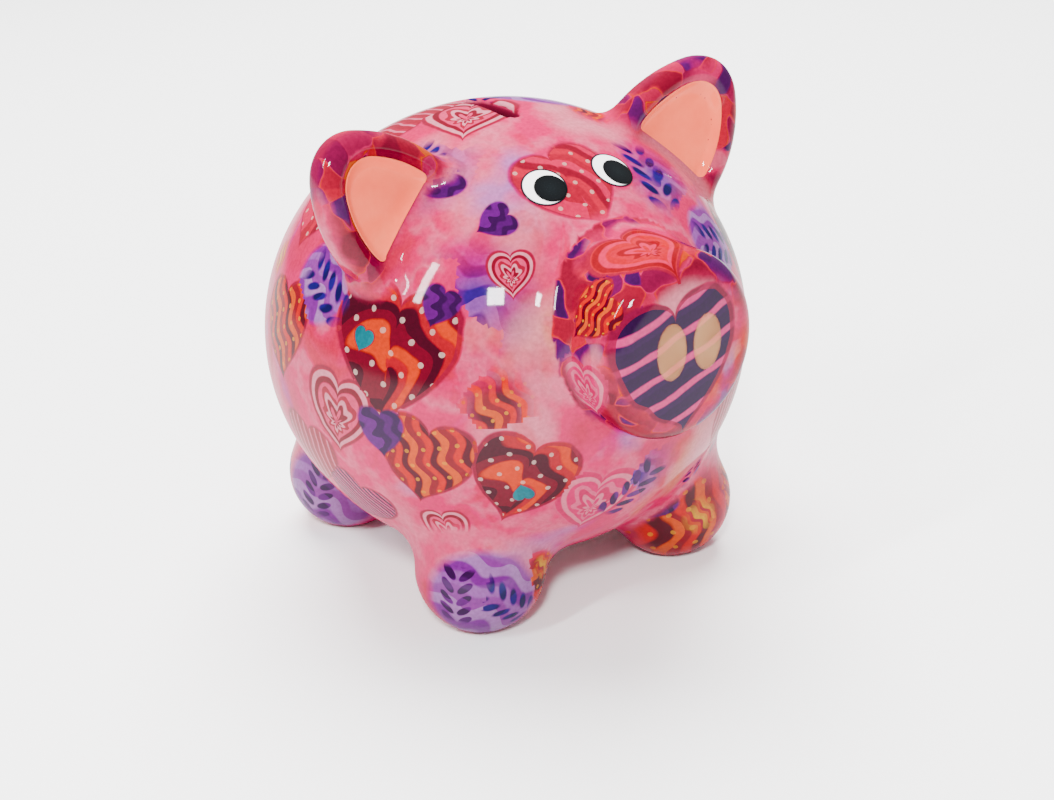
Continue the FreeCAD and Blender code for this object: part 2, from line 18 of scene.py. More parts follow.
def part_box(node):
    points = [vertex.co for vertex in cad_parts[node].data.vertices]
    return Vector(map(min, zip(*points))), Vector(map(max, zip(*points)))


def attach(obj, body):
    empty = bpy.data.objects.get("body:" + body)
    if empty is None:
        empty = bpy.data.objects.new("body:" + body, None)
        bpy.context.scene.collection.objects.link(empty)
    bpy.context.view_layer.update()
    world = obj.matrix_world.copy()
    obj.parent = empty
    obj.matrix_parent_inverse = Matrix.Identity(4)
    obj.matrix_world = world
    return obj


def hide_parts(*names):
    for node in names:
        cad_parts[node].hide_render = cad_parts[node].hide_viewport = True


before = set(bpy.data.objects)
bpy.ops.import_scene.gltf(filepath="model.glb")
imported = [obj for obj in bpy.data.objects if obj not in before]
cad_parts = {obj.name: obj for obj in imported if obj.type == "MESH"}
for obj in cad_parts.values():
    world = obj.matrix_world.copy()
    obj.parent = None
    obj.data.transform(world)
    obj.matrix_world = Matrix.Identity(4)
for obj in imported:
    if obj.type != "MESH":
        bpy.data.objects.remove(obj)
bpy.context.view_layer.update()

MM = 0.001

CASTINGS = [
    "body_shell", "snout", "left_ear", "right_ear", "front_left_leg", "front_right_leg",
    "rear_left_leg", "rear_right_leg", "tail",
]


def node_box(node):
    """Lowest and highest corner of a CAD node, in millimetres."""
    low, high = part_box(node)
    return np.array(low) / MM, np.array(high) / MM


# ------------------------------------------------------------------ the driving form

SHELL_LOW, SHELL_HIGH = node_box("body_shell")
BODY_RADIUS = (SHELL_HIGH[0] - SHELL_LOW[0]) / 2
BODY_HALF_HEIGHT = 70.5
BELLY_GAP = 4.5
WALL = 4.5
MIDDLE = np.array([0.0, (SHELL_LOW[1] + SHELL_HIGH[1]) / 2, BELLY_GAP + BODY_HALF_HEIGHT])

SNOUT_LOW, SNOUT_HIGH = node_box("snout")
SNOUT_RADIUS = (SNOUT_HIGH[0] - SNOUT_LOW[0]) / 2
SNOUT_REACH = MIDDLE[1] - SNOUT_LOW[1]
SNOUT_RISE = (SNOUT_LOW[2] + SNOUT_HIGH[2]) / 2 - MIDDLE[2]
SNOUT_RIM = 7.0
SNOUT_DOME = 1.8
SNOUT_ROOT = 30.0
# the drum is a little narrower than it is tall
SNOUT_ACROSS, SNOUT_UP = 0.985, 1.015

FOOT_RADIUS = 19.8
LEG_TOP_RADIUS = 22.0
LEG_LENGTH = 46.0
LEG_LEAN = math.radians(25.0)
SOLE_CUT = 2.5
LEGS = {
    "front_left": (36.5, -35.8), "front_right": (-36.5, -35.8),
    "rear_left": (36.5, 46.0), "rear_right": (-36.5, 46.0),
}

EAR_FORWARD = 27.0
EAR_ANGLE = math.radians(45.0)
EAR_TWIST = math.radians(12.0)
EAR_UPPER_ARC, EAR_LOWER_ARC = 49.0, 41.0
EAR_UPPER_REACH, EAR_LOWER_REACH = 27.0, 15.0
EAR_THICKNESS = 13.0
EAR_TIP_SOFTNESS = 12.0
EAR_RIM = 6.0
EAR_CUP_DEPTH, EAR_CUP_START, EAR_CUP_SLOPE = 3.4, 1.5, 5.0
EAR_TAPER, EAR_TAPER_LENGTH = 3.0, 40.0
EAR_EDGE, EAR_FACE_EDGE = 4.6, 2.0
EAR_ROOT_DEPTH = 14.0

TAIL_INNER, TAIL_OUTER = 4.6, 8.4
TAIL_THICKNESS = 6.6
TAIL_RISE = 12.0

SLOT_LENGTH, SLOT_WIDTH, SLOT_SETBACK = 34.0, 5.0, 6.0
HOLE_RADIUS, SEAT_RADIUS, SEAT_DEPTH = 15.0, 19.5, 3.6

EYE_SPREAD, EYE_ANGLE = 11.8, math.radians(33.6)
EYE_RADIUS, PUPIL_RADIUS = 6.6, 4.7
PUPIL_ASIDE, PUPIL_DOWN = 1.3, 1.2
NOSTRIL_SPREAD, NOSTRIL_RISE = 6.1, 2.2
NOSTRIL_HALF_WIDTH, NOSTRIL_HALF_HEIGHT = 4.9, 8.2
# the printed layers' thickness, how far each stands off the form, and the cells across one
FILM = 0.25
FILM_RISE, PUPIL_RISE = 0.12, 0.3
FILM_CELLS = 44

FLANGE_RADIUS, FLANGE_THICKNESS = 18.5, 2.4
NECK_RADIUS, NECK_LENGTH, NECK_LEAD_IN = 14.9, 11.0, 2.0
DISH_RADIUS, DISH_DEPTH, GRIP_WIDTH = 12.5, 1.2, 4.0
FLANGE_EDGE, NECK_EDGE, NECK_FILLET = 0.7, 0.5, 0.4
DISH_EDGE, DISH_LIP = 0.8, 0.5

SNOUT_FILLET, LEG_FILLET, EAR_FILLET, TAIL_FILLET = 7.0, 9.0, 6.0, 2.0
SOLE_EDGE = 1.6
OPENING_EDGE = 1.3
CAVITY_FLOOR_EDGE = 1.5

# size of the remesh's cells, how often the skin is relaxed, and how much each time
VOXEL, STOPPER_VOXEL = 1.5, 0.55
RELAX_ROUNDS, RELAX_SHARE = 6, 0.6


# ------------------------------------------------------------------ distance fields (mm)

def soft_min(first, second, reach):
    """The nearer of two distances, rounded where they are within reach of each other."""
    share = np.clip(0.5 + 0.5 * (second - first) / reach, 0, 1)
    return second + (first - second) * share - reach * share * (1 - share)


def soft_max(first, second, reach):
    return -soft_min(-first, -second, reach)


def ellipsoid(points, across, up):
    radii = np.array([across, across, up])
    scaled = np.linalg.norm(points / radii, axis=1)
    steep = np.linalg.norm(points / radii ** 2, axis=1)
    return scaled * (scaled - 1) / np.maximum(steep, 1e-9)


def capsule_cone(points, start, finish, start_radius, finish_radius):
    """Round cone between two balls."""
    axis = finish - start
    length = np.linalg.norm(axis)
    axis = axis / length
    along = np.clip((points - start) @ axis, 0, length)
    nearest = start + along[:, None] * axis
    radius = start_radius + (finish_radius - start_radius) * along / length
    return np.linalg.norm(points - nearest, axis=1) - radius


def rounded_box_2d(first, second, rounding):
    """Distance to the solid where both first and second are negative, its edge rounded."""
    outside = np.hypot(np.maximum(first + rounding, 0), np.maximum(second + rounding, 0))
    inside = np.minimum(np.maximum(first, second) + rounding, 0)
    return outside + inside - rounding


def snout_distance(points):
    radial = np.hypot(points[:, 0] / SNOUT_ACROSS, (points[:, 2] - SNOUT_RISE) / SNOUT_UP)
    ahead = -points[:, 1]
    face = ahead - SNOUT_REACH + SNOUT_DOME * (radial / SNOUT_RADIUS) ** 2
    behind = SNOUT_ROOT - ahead
    drum = rounded_box_2d(radial - SNOUT_RADIUS, face, SNOUT_RIM)
    return np.maximum(drum, behind)


def legs_distance(points):
    best = np.full(len(points), np.inf)
    for out, back in LEGS.values():
        ball = np.array([out, back, FOOT_RADIUS - SOLE_CUT - MIDDLE[2]])
        inward = -np.array([out, back]) / math.hypot(out, back)
        rise = np.array([*(inward * math.sin(LEG_LEAN)), math.cos(LEG_LEAN)])
        leg = capsule_cone(points, ball, ball + rise * LEG_LENGTH, FOOT_RADIUS, LEG_TOP_RADIUS)
        best = np.minimum(best, leg)
    return best


def ear_frame():
    """The left ear's root on the body and its axes: down the cheek, away, out of its face."""
    section = math.sqrt(1 - (EAR_FORWARD / BODY_RADIUS) ** 2)
    root = np.array([
        section * BODY_RADIUS * math.sin(EAR_ANGLE), -EAR_FORWARD,
        section * BODY_HALF_HEIGHT * math.cos(EAR_ANGLE)])
    turn = (Matrix.Rotation(math.pi / 2, 3, "X") @ Matrix.Rotation(-EAR_ANGLE, 3, "Z")
            @ Matrix.Rotation(-EAR_TWIST, 3, "Y"))
    return root, np.array(turn)


EAR_ROOT, EAR_TURN = ear_frame()
EAR_UPPER_MIDDLE = EAR_UPPER_ARC - EAR_UPPER_REACH
EAR_LOWER_MIDDLE = EAR_LOWER_REACH - EAR_LOWER_ARC


def ear_local(points):
    """Points in the ear's own axes; both sides fold onto the left ear."""
    folded = np.column_stack([np.abs(points[:, 0]), points[:, 1:]])
    return (folded - EAR_ROOT) @ EAR_TURN


def ear_outline(local):
    """Distance outside the two arcs that meet at the tip; negative inside."""
    upper = np.hypot(local[:, 0] - EAR_UPPER_MIDDLE, local[:, 1]) - EAR_UPPER_ARC
    lower = np.hypot(local[:, 0] - EAR_LOWER_MIDDLE, local[:, 1]) - EAR_LOWER_ARC
    return soft_max(upper, lower, EAR_TIP_SOFTNESS)


def cup_depth(outline):
    """How far the ear's face is dished in, from the inner edge of the rim."""
    inside = np.clip((-outline - EAR_RIM + EAR_CUP_START) / EAR_CUP_SLOPE, 0, 1)
    return EAR_CUP_DEPTH * inside * inside * (3 - 2 * inside)


def ears_distance(points):
    local = ear_local(points)
    outline = ear_outline(local)
    thickness = EAR_THICKNESS - EAR_TAPER * np.clip(local[:, 1] / EAR_TAPER_LENGTH, 0, 1)
    front = local[:, 2] + cup_depth(outline)
    back = -(local[:, 2] + thickness)
    slab = soft_max(front, back, EAR_FACE_EDGE)
    plate = rounded_box_2d(outline, slab, EAR_EDGE)
    return np.maximum(plate, -local[:, 1] - EAR_ROOT_DEPTH)


def tail_distance(points):
    """A spiral on the rump made of two half turns."""
    at = points - np.array([0, BODY_RADIUS, TAIL_RISE])
    upper = at[:, 2] >= 0
    inner = np.hypot(at[:, 0], at[:, 2])
    outer = np.hypot(at[:, 0] - (TAIL_OUTER - TAIL_INNER), at[:, 2])
    half_thick = TAIL_THICKNESS / 2
    on_inner = np.hypot(inner - TAIL_INNER, at[:, 1])
    on_outer = np.hypot(outer - TAIL_OUTER, at[:, 1])
    tip = np.linalg.norm(at - np.array([TAIL_INNER, 0, 0]), axis=1)
    root = np.linalg.norm(at - np.array([2 * TAIL_OUTER - TAIL_INNER, 0, 0]), axis=1)
    inner_part = np.where(upper, on_inner, tip)
    outer_part = np.where(upper, root, on_outer)
    return np.minimum(inner_part, outer_part) - half_thick


def openings_distance(points):
    """Cavity, coin slot, belly hole and stopper seat: negative where there is no clay."""
    x, y, z = points.T
    cavity = ellipsoid(points, BODY_RADIUS - WALL, BODY_HALF_HEIGHT - WALL)
    floor = -BODY_HALF_HEIGHT + SEAT_DEPTH + WALL
    cavity = soft_max(cavity, floor - z, CAVITY_FLOOR_EDGE)
    along = np.maximum(np.abs(y - SLOT_SETBACK) - (SLOT_LENGTH - SLOT_WIDTH) / 2, 0)
    slot = np.maximum(np.hypot(x, along) - SLOT_WIDTH / 2, -z)
    radial = np.hypot(x, y)
    hole = np.maximum(radial - HOLE_RADIUS, z)
    seat = np.maximum(radial - SEAT_RADIUS, z + BODY_HALF_HEIGHT - SEAT_DEPTH)
    bottom = np.minimum(hole, seat)
    return np.minimum(cavity, np.minimum(slot, bottom))


def outside_distance(points):
    """The pig's outer form without its openings."""
    body = ellipsoid(points, BODY_RADIUS, BODY_HALF_HEIGHT)
    form = soft_min(body, snout_distance(points), SNOUT_FILLET)
    form = soft_min(form, legs_distance(points), LEG_FILLET)
    form = soft_min(form, ears_distance(points), EAR_FILLET)
    form = soft_min(form, tail_distance(points), TAIL_FILLET)
    table = -MIDDLE[2] - points[:, 2]
    return soft_max(form, table, SOLE_EDGE)


def pig_distance(points):
    return soft_max(outside_distance(points), -openings_distance(points), OPENING_EDGE)


def slope(distance, points, step=0.05):
    """Unit direction in which the distance grows."""
    rise = np.empty_like(points)
    for axis in range(3):
        shift = np.zeros(3)
        shift[axis] = step
        rise[:, axis] = distance(points + shift) - distance(points - shift)
    length = np.linalg.norm(rise, axis=1, keepdims=True)
    return rise / np.maximum(length, 1e-9), length[:, 0] / (2 * step)


def draw_onto(distance, points, rounds, longest):
    """Moves points along the slope until the distance is nothing."""
    for _ in range(rounds):
        direction, steepness = slope(distance, points)
        gap = distance(points) / np.maximum(steepness, 0.3)
        points = points - direction * np.clip(gap, -longest, longest)[:, None]
    return points


# ------------------------------------------------------------------ meshes

def link(mesh, name):
    piece = bpy.data.objects.new(name, mesh)
    bpy.context.scene.collection.objects.link(piece)
    return piece


def read_points(mesh):
    flat = np.empty(len(mesh.vertices) * 3, np.float64)
    mesh.vertices.foreach_get("co", flat)
    return flat.reshape(-1, 3)


def write_points(mesh, points):
    mesh.vertices.foreach_set("co", np.asarray(points, np.float32).ravel())
    mesh.update()


def merged_copy(nodes):
    """One mesh with a merged copy of every node."""
    shape = bmesh.new()
    for node in nodes:
        shape.from_mesh(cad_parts[node].data)
    bmesh.ops.remove_doubles(shape, verts=shape.verts, dist=1e-6)
    mesh = bpy.data.meshes.new("merged")
    shape.to_mesh(mesh)
    shape.free()
    return mesh


def finished(piece):
    """The piece with its modifiers made part of its mesh."""
    bpy.context.view_layer.update()
    evaluated = piece.evaluated_get(bpy.context.evaluated_depsgraph_get())
    mesh = bpy.data.meshes.new_from_object(evaluated)
    name = piece.name
    bpy.data.objects.remove(piece)
    return link(mesh, name)


def relax(mesh, points, share):
    """Moves each vertex towards the middle of its neighbours."""
    pairs = np.empty(len(mesh.edges) * 2, np.int64)
    mesh.edges.foreach_get("vertices", pairs)
    pairs = pairs.reshape(-1, 2)
    total = np.zeros_like(points)
    count = np.zeros(len(points))
    for near, far in ((0, 1), (1, 0)):
        np.add.at(total, pairs[:, near], points[pairs[:, far]])
        np.add.at(count, pairs[:, near], 1)
    return points + share * (total / np.maximum(count, 1)[:, None] - points)


def drawn_skin(name, nodes, voxel, distance):
    """A voxel remesh of the nodes, relaxed and drawn onto a smooth distance field."""
    rough = link(merged_copy(nodes), name)
    remesh = rough.modifiers.new("voxels", "REMESH")
    remesh.mode = "VOXEL"
    remesh.voxel_size = voxel * MM
    skin = finished(rough)
    mesh = skin.data
    points = read_points(mesh) / MM - MIDDLE
    for _ in range(RELAX_ROUNDS):
        points = relax(mesh, points, RELAX_SHARE)
        points = draw_onto(distance, points, 1, voxel)
    points = draw_onto(distance, points, 4, voxel)
    write_points(mesh, (points + MIDDLE) * MM)
    mesh.polygons.foreach_set("use_smooth", [True] * len(mesh.polygons))
    return skin


def film(name, node, centre, across, up, edge, rise):
    """A thin printed layer that lies on the form: a disc whose radius is edge(angle)."""
    shape = bmesh.new()
    bmesh.ops.create_grid(shape, x_segments=FILM_CELLS, y_segments=FILM_CELLS, size=1.0)
    mesh = bpy.data.meshes.new(name)
    shape.to_mesh(mesh)
    shape.free()
    square = read_points(mesh)
    x = square[:, 0] * np.sqrt(1 - square[:, 1] ** 2 / 2)
    y = square[:, 1] * np.sqrt(1 - square[:, 0] ** 2 / 2)
    angle = np.arctan2(y, x)
    reach = np.hypot(x, y) * edge(angle)
    points = centre + np.outer(np.cos(angle) * reach, across) + np.outer(np.sin(angle) * reach, up)
    points = draw_onto(outside_distance, points, 8, 4.0)
    points = points + slope(outside_distance, points)[0] * rise
    write_points(mesh, (points + MIDDLE) * MM)
    corners = np.empty(len(mesh.loops), np.int64)
    mesh.loops.foreach_get("vertex_index", corners)
    print_map = mesh.uv_layers.new(name="print")
    print_map.data.foreach_set("uv", np.column_stack([x, y])[corners].astype(np.float32).ravel())
    mesh.polygons.foreach_set("use_smooth", [True] * len(mesh.polygons))
    flat = link(mesh, name)
    solid = flat.modifiers.new("film", "SOLIDIFY")
    solid.thickness = FILM * MM
    solid.offset = -1.0
    piece = finished(flat)
    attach(piece, "pig")
    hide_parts(node)
    return piece


def eye_place(side):
    """Middle of one eye on the body, and its axes: towards the pig's left, and up."""
    section = math.sqrt(1 - (EYE_SPREAD / BODY_RADIUS) ** 2)
    middle = np.array([
        side * EYE_SPREAD, -section * BODY_RADIUS * math.sin(EYE_ANGLE),
        section * BODY_HALF_HEIGHT * math.cos(EYE_ANGLE)])
    out = slope(outside_distance, middle[None])[0][0]
    up = np.cross(out, np.array([1.0, 0, 0]))
    up = up / np.linalg.norm(up)
    return middle, np.cross(up, out), up


def eyes():
    pieces = []
    for side_name, side in (("left", 1), ("right", -1)):
        middle, across, up = eye_place(side)
        pieces.append(film(
            f"{side_name}_eye_white_print", f"{side_name}_eye_white",
            middle, across, up, lambda angle: EYE_RADIUS, FILM_RISE))
        pupil = middle + across * PUPIL_ASIDE - up * PUPIL_DOWN
        pieces.append(film(
            f"{side_name}_pupil_print", f"{side_name}_pupil",
            pupil, across, up, lambda angle: PUPIL_RADIUS, PUPIL_RISE))
    return pieces


def oval(half_width, half_height):
    def edge(angle):
        return 1 / np.hypot(np.cos(angle) / half_width, np.sin(angle) / half_height)
    return edge


def nostrils():
    pieces = []
    for side_name, side in (("left", 1), ("right", -1)):
        middle = np.array([side * NOSTRIL_SPREAD, -SNOUT_REACH, SNOUT_RISE + NOSTRIL_RISE])
        pieces.append(film(
            f"{side_name}_nostril_print", f"{side_name}_nostril",
            middle, np.array([1.0, 0, 0]), np.array([0, 0, 1.0]),
            oval(NOSTRIL_HALF_WIDTH, NOSTRIL_HALF_HEIGHT), FILM_RISE))
    return pieces


# in the ear's own axes: the patch's middle, how far it climbs the rim and stays off the head
PATCH_MIDDLE = (-3.0, 14.0)
PATCH_UP_RIM, PATCH_OFF_HEAD, PATCH_CORNER = 0.6, 1.2, 3.0


def ear_patches():
    """The plain patches fill the cups, up to the rim and down to the fillet at the head."""
    pieces = []
    for side_name, side in (("left", 1), ("right", -1)):
        mirror = np.array([side, 1, 1])
        middle = np.array([*PATCH_MIDDLE, -EAR_CUP_DEPTH])
        across, up = EAR_TURN[:, 0] * mirror, EAR_TURN[:, 1] * mirror

        def edge(angle):
            """Where a line from the patch's middle meets the rim or the head."""
            near, far = np.zeros(np.shape(angle)), np.full(np.shape(angle), 40.0)
            for _ in range(24):
                half = (near + far) / 2
                local = middle + np.column_stack([
                    np.cos(angle) * half, np.sin(angle) * half, np.zeros(np.shape(angle))])
                past_rim = ear_outline(local) + EAR_RIM - PATCH_UP_RIM
                outside = soft_max(past_rim, PATCH_OFF_HEAD - local[:, 1], PATCH_CORNER)
                near, far = np.where(outside < 0, half, near), np.where(outside < 0, far, half)
            return near

        centre = (EAR_ROOT + EAR_TURN @ middle) * mirror
        pieces.append(film(
            f"{side_name}_ear_patch_print", f"{side_name}_ear_patch",
            centre, across, up, edge, FILM_RISE))
    for piece in pieces:
        outward(piece)
    return pieces


def outward(piece):
    """Makes every face look out of the piece."""
    shape = bmesh.new()
    shape.from_mesh(piece.data)
    bmesh.ops.recalc_face_normals(shape, faces=shape.faces)
    shape.to_mesh(piece.data)
    shape.free()


def stopper_distance(points):
    """Soft plug: flange, neck with a lead-in, and a dish on each side of the grip."""
    top = -BODY_HALF_HEIGHT + SEAT_DEPTH
    radial = np.hypot(points[:, 0], points[:, 1])
    height = points[:, 2] - top
    flange = rounded_box_2d(
        radial - FLANGE_RADIUS, np.abs(height + FLANGE_THICKNESS / 2) - FLANGE_THICKNESS / 2,
        FLANGE_EDGE)
    lead_in = (radial + height - NECK_RADIUS - NECK_LENGTH + NECK_LEAD_IN) / math.sqrt(2)
    neck = rounded_box_2d(np.maximum(radial - NECK_RADIUS, lead_in), height - NECK_LENGTH, NECK_EDGE)
    plug = soft_min(flange, np.maximum(neck, -height - FLANGE_THICKNESS / 2), NECK_FILLET)
    dish = soft_max(radial - DISH_RADIUS, GRIP_WIDTH / 2 - np.abs(points[:, 1]), DISH_EDGE)
    dish = soft_max(dish, height + FLANGE_THICKNESS - DISH_DEPTH, DISH_EDGE)
    return soft_max(plug, -dish, DISH_LIP)


def stopper():
    plug = drawn_skin("rubber_stopper", ["stopper"], STOPPER_VOXEL, stopper_distance)
    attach(plug, "belly_stopper")
    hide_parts("stopper")
    return plug


# ------------------------------------------------------------------ the printed film

# Lengths on a print are in its own half widths, so that 1 is its edge.
HEART, DISC, SPRIG = 0, 1, 2
HEART_SQUASH, HEART_CLEFT = 1.1, 0.65
# pairs of leaves, their slant, distance from the stem, narrowness and shortness, and the stem's end
LEAF_PAIRS, LEAF_SLANT, LEAF_OUT = 2.6, 1.6, 0.27
LEAF_NARROW, LEAF_SHORT, STEM_END = 4.2, 2.5, 1.02
PETALS, PETAL_DEPTH, PETAL_REACH = 8, 0.14, 0.55
WAVE_RATE = 8.0
BAND_BLUR = 0.03
DOT_RATE, DOT_SIZE, DOT_COVER = 3.0, 0.13, 0.65
OUTLINE_START, OUTLINE_COVER = 0.90, 0.75
# only prints with an edge crisper than this get an outline
CRISP = 0.1

# Each kind of print, in this order: outline, palette, softness of its edge, bands across it, bands
# round it, turns of a spiral, how wavy the bands are, their slant in degrees, and its dots (0 none,
# 1 pale, 2 orange). Two or more bands round it make it a rosette, with petals in its middle.
KINDS = {
    "waves": (HEART, "embers", 0.05, 1.6, 0.0, 0.0, 0.13, 25, 2),
    "rosette": (HEART, "roses", 0.05, 0.0, 2.0, 0.0, 0.0, 0, 0),
    "red_rosette": (HEART, "garnet", 0.05, 0.0, 2.0, 0.0, 0.0, 0, 0),
    "swirl": (HEART, "flames", 0.04, 0.7, 0.9, 1.0, 0.14, 40, 1),
    "stripes": (HEART, "plum", 0.04, 2.7, 0.0, 0.0, 0.02, 103, 0),
    "pale_stripes": (HEART, "brick", 0.08, 4.5, 0.0, 0.0, 0.02, 5, 0),
    "dotted": (HEART, "scarlet", 0.08, 1.2, 0.6, 0.0, 0.05, 30, 1),
    "faint_rosette": (HEART, "blush", 0.22, 0.0, 2.0, 0.0, 0.02, 0, 0),
    "grey_stripes": (HEART, "slate", 0.06, 3.6, 0.0, 0.0, 0.03, 60, 0),
    "violet_field": (DISC, "violet", 0.16, 1.0, 0.4, 0.0, 0.10, 60, 0),
    "leaves": (SPRIG, "navy", 0.32, 0.8, 0.0, 0.0, 0.05, 90, 0),
    "plum_leaves": (SPRIG, "plum_dark", 0.15, 0.8, 0.0, 0.0, 0.05, 90, 0),
    "embers_field": (DISC, "embers", 0.40, 1.3, 0.5, 0.3, 0.10, 40, 2),
    "smear": (DISC, "dusk", 0.85, 1.1, 0.3, 0.0, 0.14, 70, 0),
    "blot": (HEART, "plum_dark", 0.12, 0.6, 0.2, 0.0, 0.10, 20, 0),
    "glow": (DISC, "amber", 0.70, 1.6, 0.2, 0.0, 0.14, 40, 0),
    "red_blot": (DISC, "embers", 0.65, 1.4, 0.3, 0.0, 0.14, 60, 2),
    "teal_heart": (HEART, "teal", 0.06, 0.5, 0.0, 0.0, 0.0, 0, 0),
}

# bands of colour, from the start of one band to the start of the next
PALETTES = {
    "embers": ("#9A0A22", "#E22C2C", "#5E0820", "#EE5A2A"),
    "roses": ("#F690A4", "#8A0A28", "#FAB4C0", "#B0183A"),
    "garnet": ("#D8182E", "#F2788A", "#A8081E", "#DE2A40"),
    "flames": ("#4E0820", "#C01428", "#EC4424", "#7C0C28"),
    "plum": ("#30003E", "#380048", "#F58FB0", "#30003E"),
    "brick": ("#AC1A38", "#BC2846", "#F0A0B0", "#AC1A38"),
    "scarlet": ("#BC1236", "#D82C48", "#98082C", "#E85470"),
    "blush": ("#EC7B98", "#F8A8B8", "#D9587A", "#F59AAF"),
    "slate": ("#2C1038", "#E88CA6", "#34143E", "#E07C98"),
    "violet": ("#98609E", "#AA78B4", "#8A5496", "#B68CBE"),
    "navy": ("#1C1452", "#2E2470", "#1C1452", "#382C7A"),
    "plum_dark": ("#3A0C48", "#561C66", "#3A0C48", "#6A2C7A"),
    "dusk": ("#4E3C80", "#84609E", "#3A2C6E", "#986CA8"),
    "amber": ("#F29A33", "#E9562B", "#B5233A", "#F2B24A"),
    "teal": ("#2C7A86", "#2F8590", "#27707E", "#2C7A86"),
}

# kind, bearing from the face towards the pig's left, height above its middle (degrees),
# half width (mm) and turn (degrees); the film repeats three times round the body
FLANK_LARGE = [
    ("swirl", -60, 13, 20, 8),
    ("rosette", -74, -3, 13, 8),
    ("waves", -96, 11, 15, -8),
    ("pale_stripes", -88, -19, 13, 10),
    ("waves", -53, -12, 15, 14),
    ("swirl", -32, -17, 16, 20),
    ("faint_rosette", -14, -27, 15, 10),
    ("rosette", -50, -32, 8, -10),
    ("grey_stripes", -78, -31, 13, 30),
    ("smear", -40, 30, 19, 0),
    ("red_blot", -36, 5, 13, 30),
    ("smear", -4, -20, 17, 30),
    ("faint_rosette", -118, -2, 12, 0),
    ("violet_field", -84, 28, 13, 0),
]
FLANK_SMALL = [
    ("teal_heart", -67, 18, 3.6, 15),
    ("teal_heart", -31, -17, 3.4, 170),
    ("blot", -62, -4, 8, 0),
    ("leaves", -82, 27, 12, -60),
    ("plum_leaves", -3, -24, 12, 40),
    ("blot", -49, 27, 6, 20),
    ("blot", -36, 47, 6, 60),
    ("leaves", -92, -34, 9, -30),
    ("rosette", -31, 34, 7, 0),
    ("glow", -112, 26, 6, 0),
]
HEAD_LARGE = [
    ("dotted", -4, 52, 16, -10),
    ("dotted", -104, 42, 16, -10),
    ("rosette", -75, 80, 15, 40),
    ("smear", 35, 48, 17, 0),
    ("smear", -64, 60, 17, 30),
    ("violet_field", 120, 70, 19, 0),
    ("pale_stripes", -150, 66, 17, 40),
]
HEAD_SMALL = [
    ("leaves", -66, 62, 12, -55),
    ("glow", -17, 22, 10, 0),
    ("leaves", 32, 50, 14, 30),
    ("leaves", 150, 76, 14, 70),
    ("blot", -58, 56, 7, 40),
    ("red_blot", 70, 66, 10, 0),
]
# on the snout's face: how far towards the pig's left and up from its middle (mm)
FACE_LARGE = [("stripes", -3, -7, 21, -6)]
# round the snout's side: degrees from its top towards the pig's left, and mm behind its face
SIDE_LARGE = [
    ("red_rosette", -8, 12, 14, 0), ("waves", -62, 14, 9, 30), ("smear", 45, 12, 14, 0),
    ("waves", 95, 13, 10, 0), ("faint_rosette", -112, 13, 10, 0), ("swirl", 165, 13, 11, 0),
]
# on the feet: leg, kind, bearing and height on its ball (degrees), half width and turn
FOOT_LARGE = [
    ("front_right", "violet_field", -30, -4, 17, 0), ("front_right", "embers_field", 48, 4, 15, 0),
    ("front_right", "smear", 150, 10, 16, 0),
    ("front_left", "embers_field", -28, 2, 20, 30), ("front_left", "red_blot", 52, 4, 15, 0),
    ("front_left", "smear", 130, 5, 15, 0),
    ("rear_right", "violet_field", -50, 0, 17, 0), ("rear_right", "smear", -120, 5, 15, 0),
    ("rear_left", "embers_field", 75, 0, 18, 0), ("rear_left", "violet_field", 160, 5, 15, 0),
]
FOOT_SMALL = [
    ("front_right", "plum_leaves", -55, 2, 10, 5), ("front_right", "leaves", -10, -8, 11, -50),
    ("front_right", "glow", 38, 12, 6, 0),
    ("front_left", "glow", -8, 4, 7, 0), ("front_left", "blot", -50, 18, 6, 30),
    ("rear_right", "plum_leaves", -60, 2, 11, 20), ("rear_left", "leaves", 150, 4, 10, 20),
]

GLAZE_COAT = 0.32
# faces out to this many half widths from a print's middle carry its map, if they face its way
PRINT_REACH, PRINT_FACING = 1.45, 0.2

REGIONS = {"body": 0, "snout": 1, "leg": 2, "ear": 3, "tail": 4}


def direction(bearing, height):
    bearing, height = math.radians(bearing), math.radians(height)
    return np.array([
        math.sin(bearing) * math.cos(height), -math.cos(bearing) * math.cos(height), math.sin(height)])


def tangents(out, turn):
    """Right and up in the surface that faces out, turned clockwise."""
    upright = np.array([0.0, 0, 1.0]) if abs(out[2]) < 0.95 else np.array([0.0, 1.0, 0])
    right = np.cross(upright, out)
    right = right / np.linalg.norm(right)
    up = np.cross(out, right)
    turn = math.radians(turn)
    return right * math.cos(turn) - up * math.sin(turn), up * math.cos(turn) + right * math.sin(turn)


def motif(kind, centre, out, half_width, turn, region):
    right, up = tangents(out, turn)
    return {"kind": kind, "centre": centre, "out": out, "right": right, "up": up,
            "half_width": half_width, "region": REGIONS[region]}


def body_motifs(flank, head):
    radii = np.array([BODY_RADIUS, BODY_RADIUS, BODY_HALF_HEIGHT])
    rows = [(kind, bearing + repeat, height, half_width, turn)
            for repeat in (0, 120, 240) for kind, bearing, height, half_width, turn in flank]
    found = []
    for kind, bearing, height, half_width, turn in head + rows:
        centre = direction(bearing, height) * radii
        out = centre / radii ** 2
        found.append(motif(kind, centre, out / np.linalg.norm(out), half_width, turn, "body"))
    return found


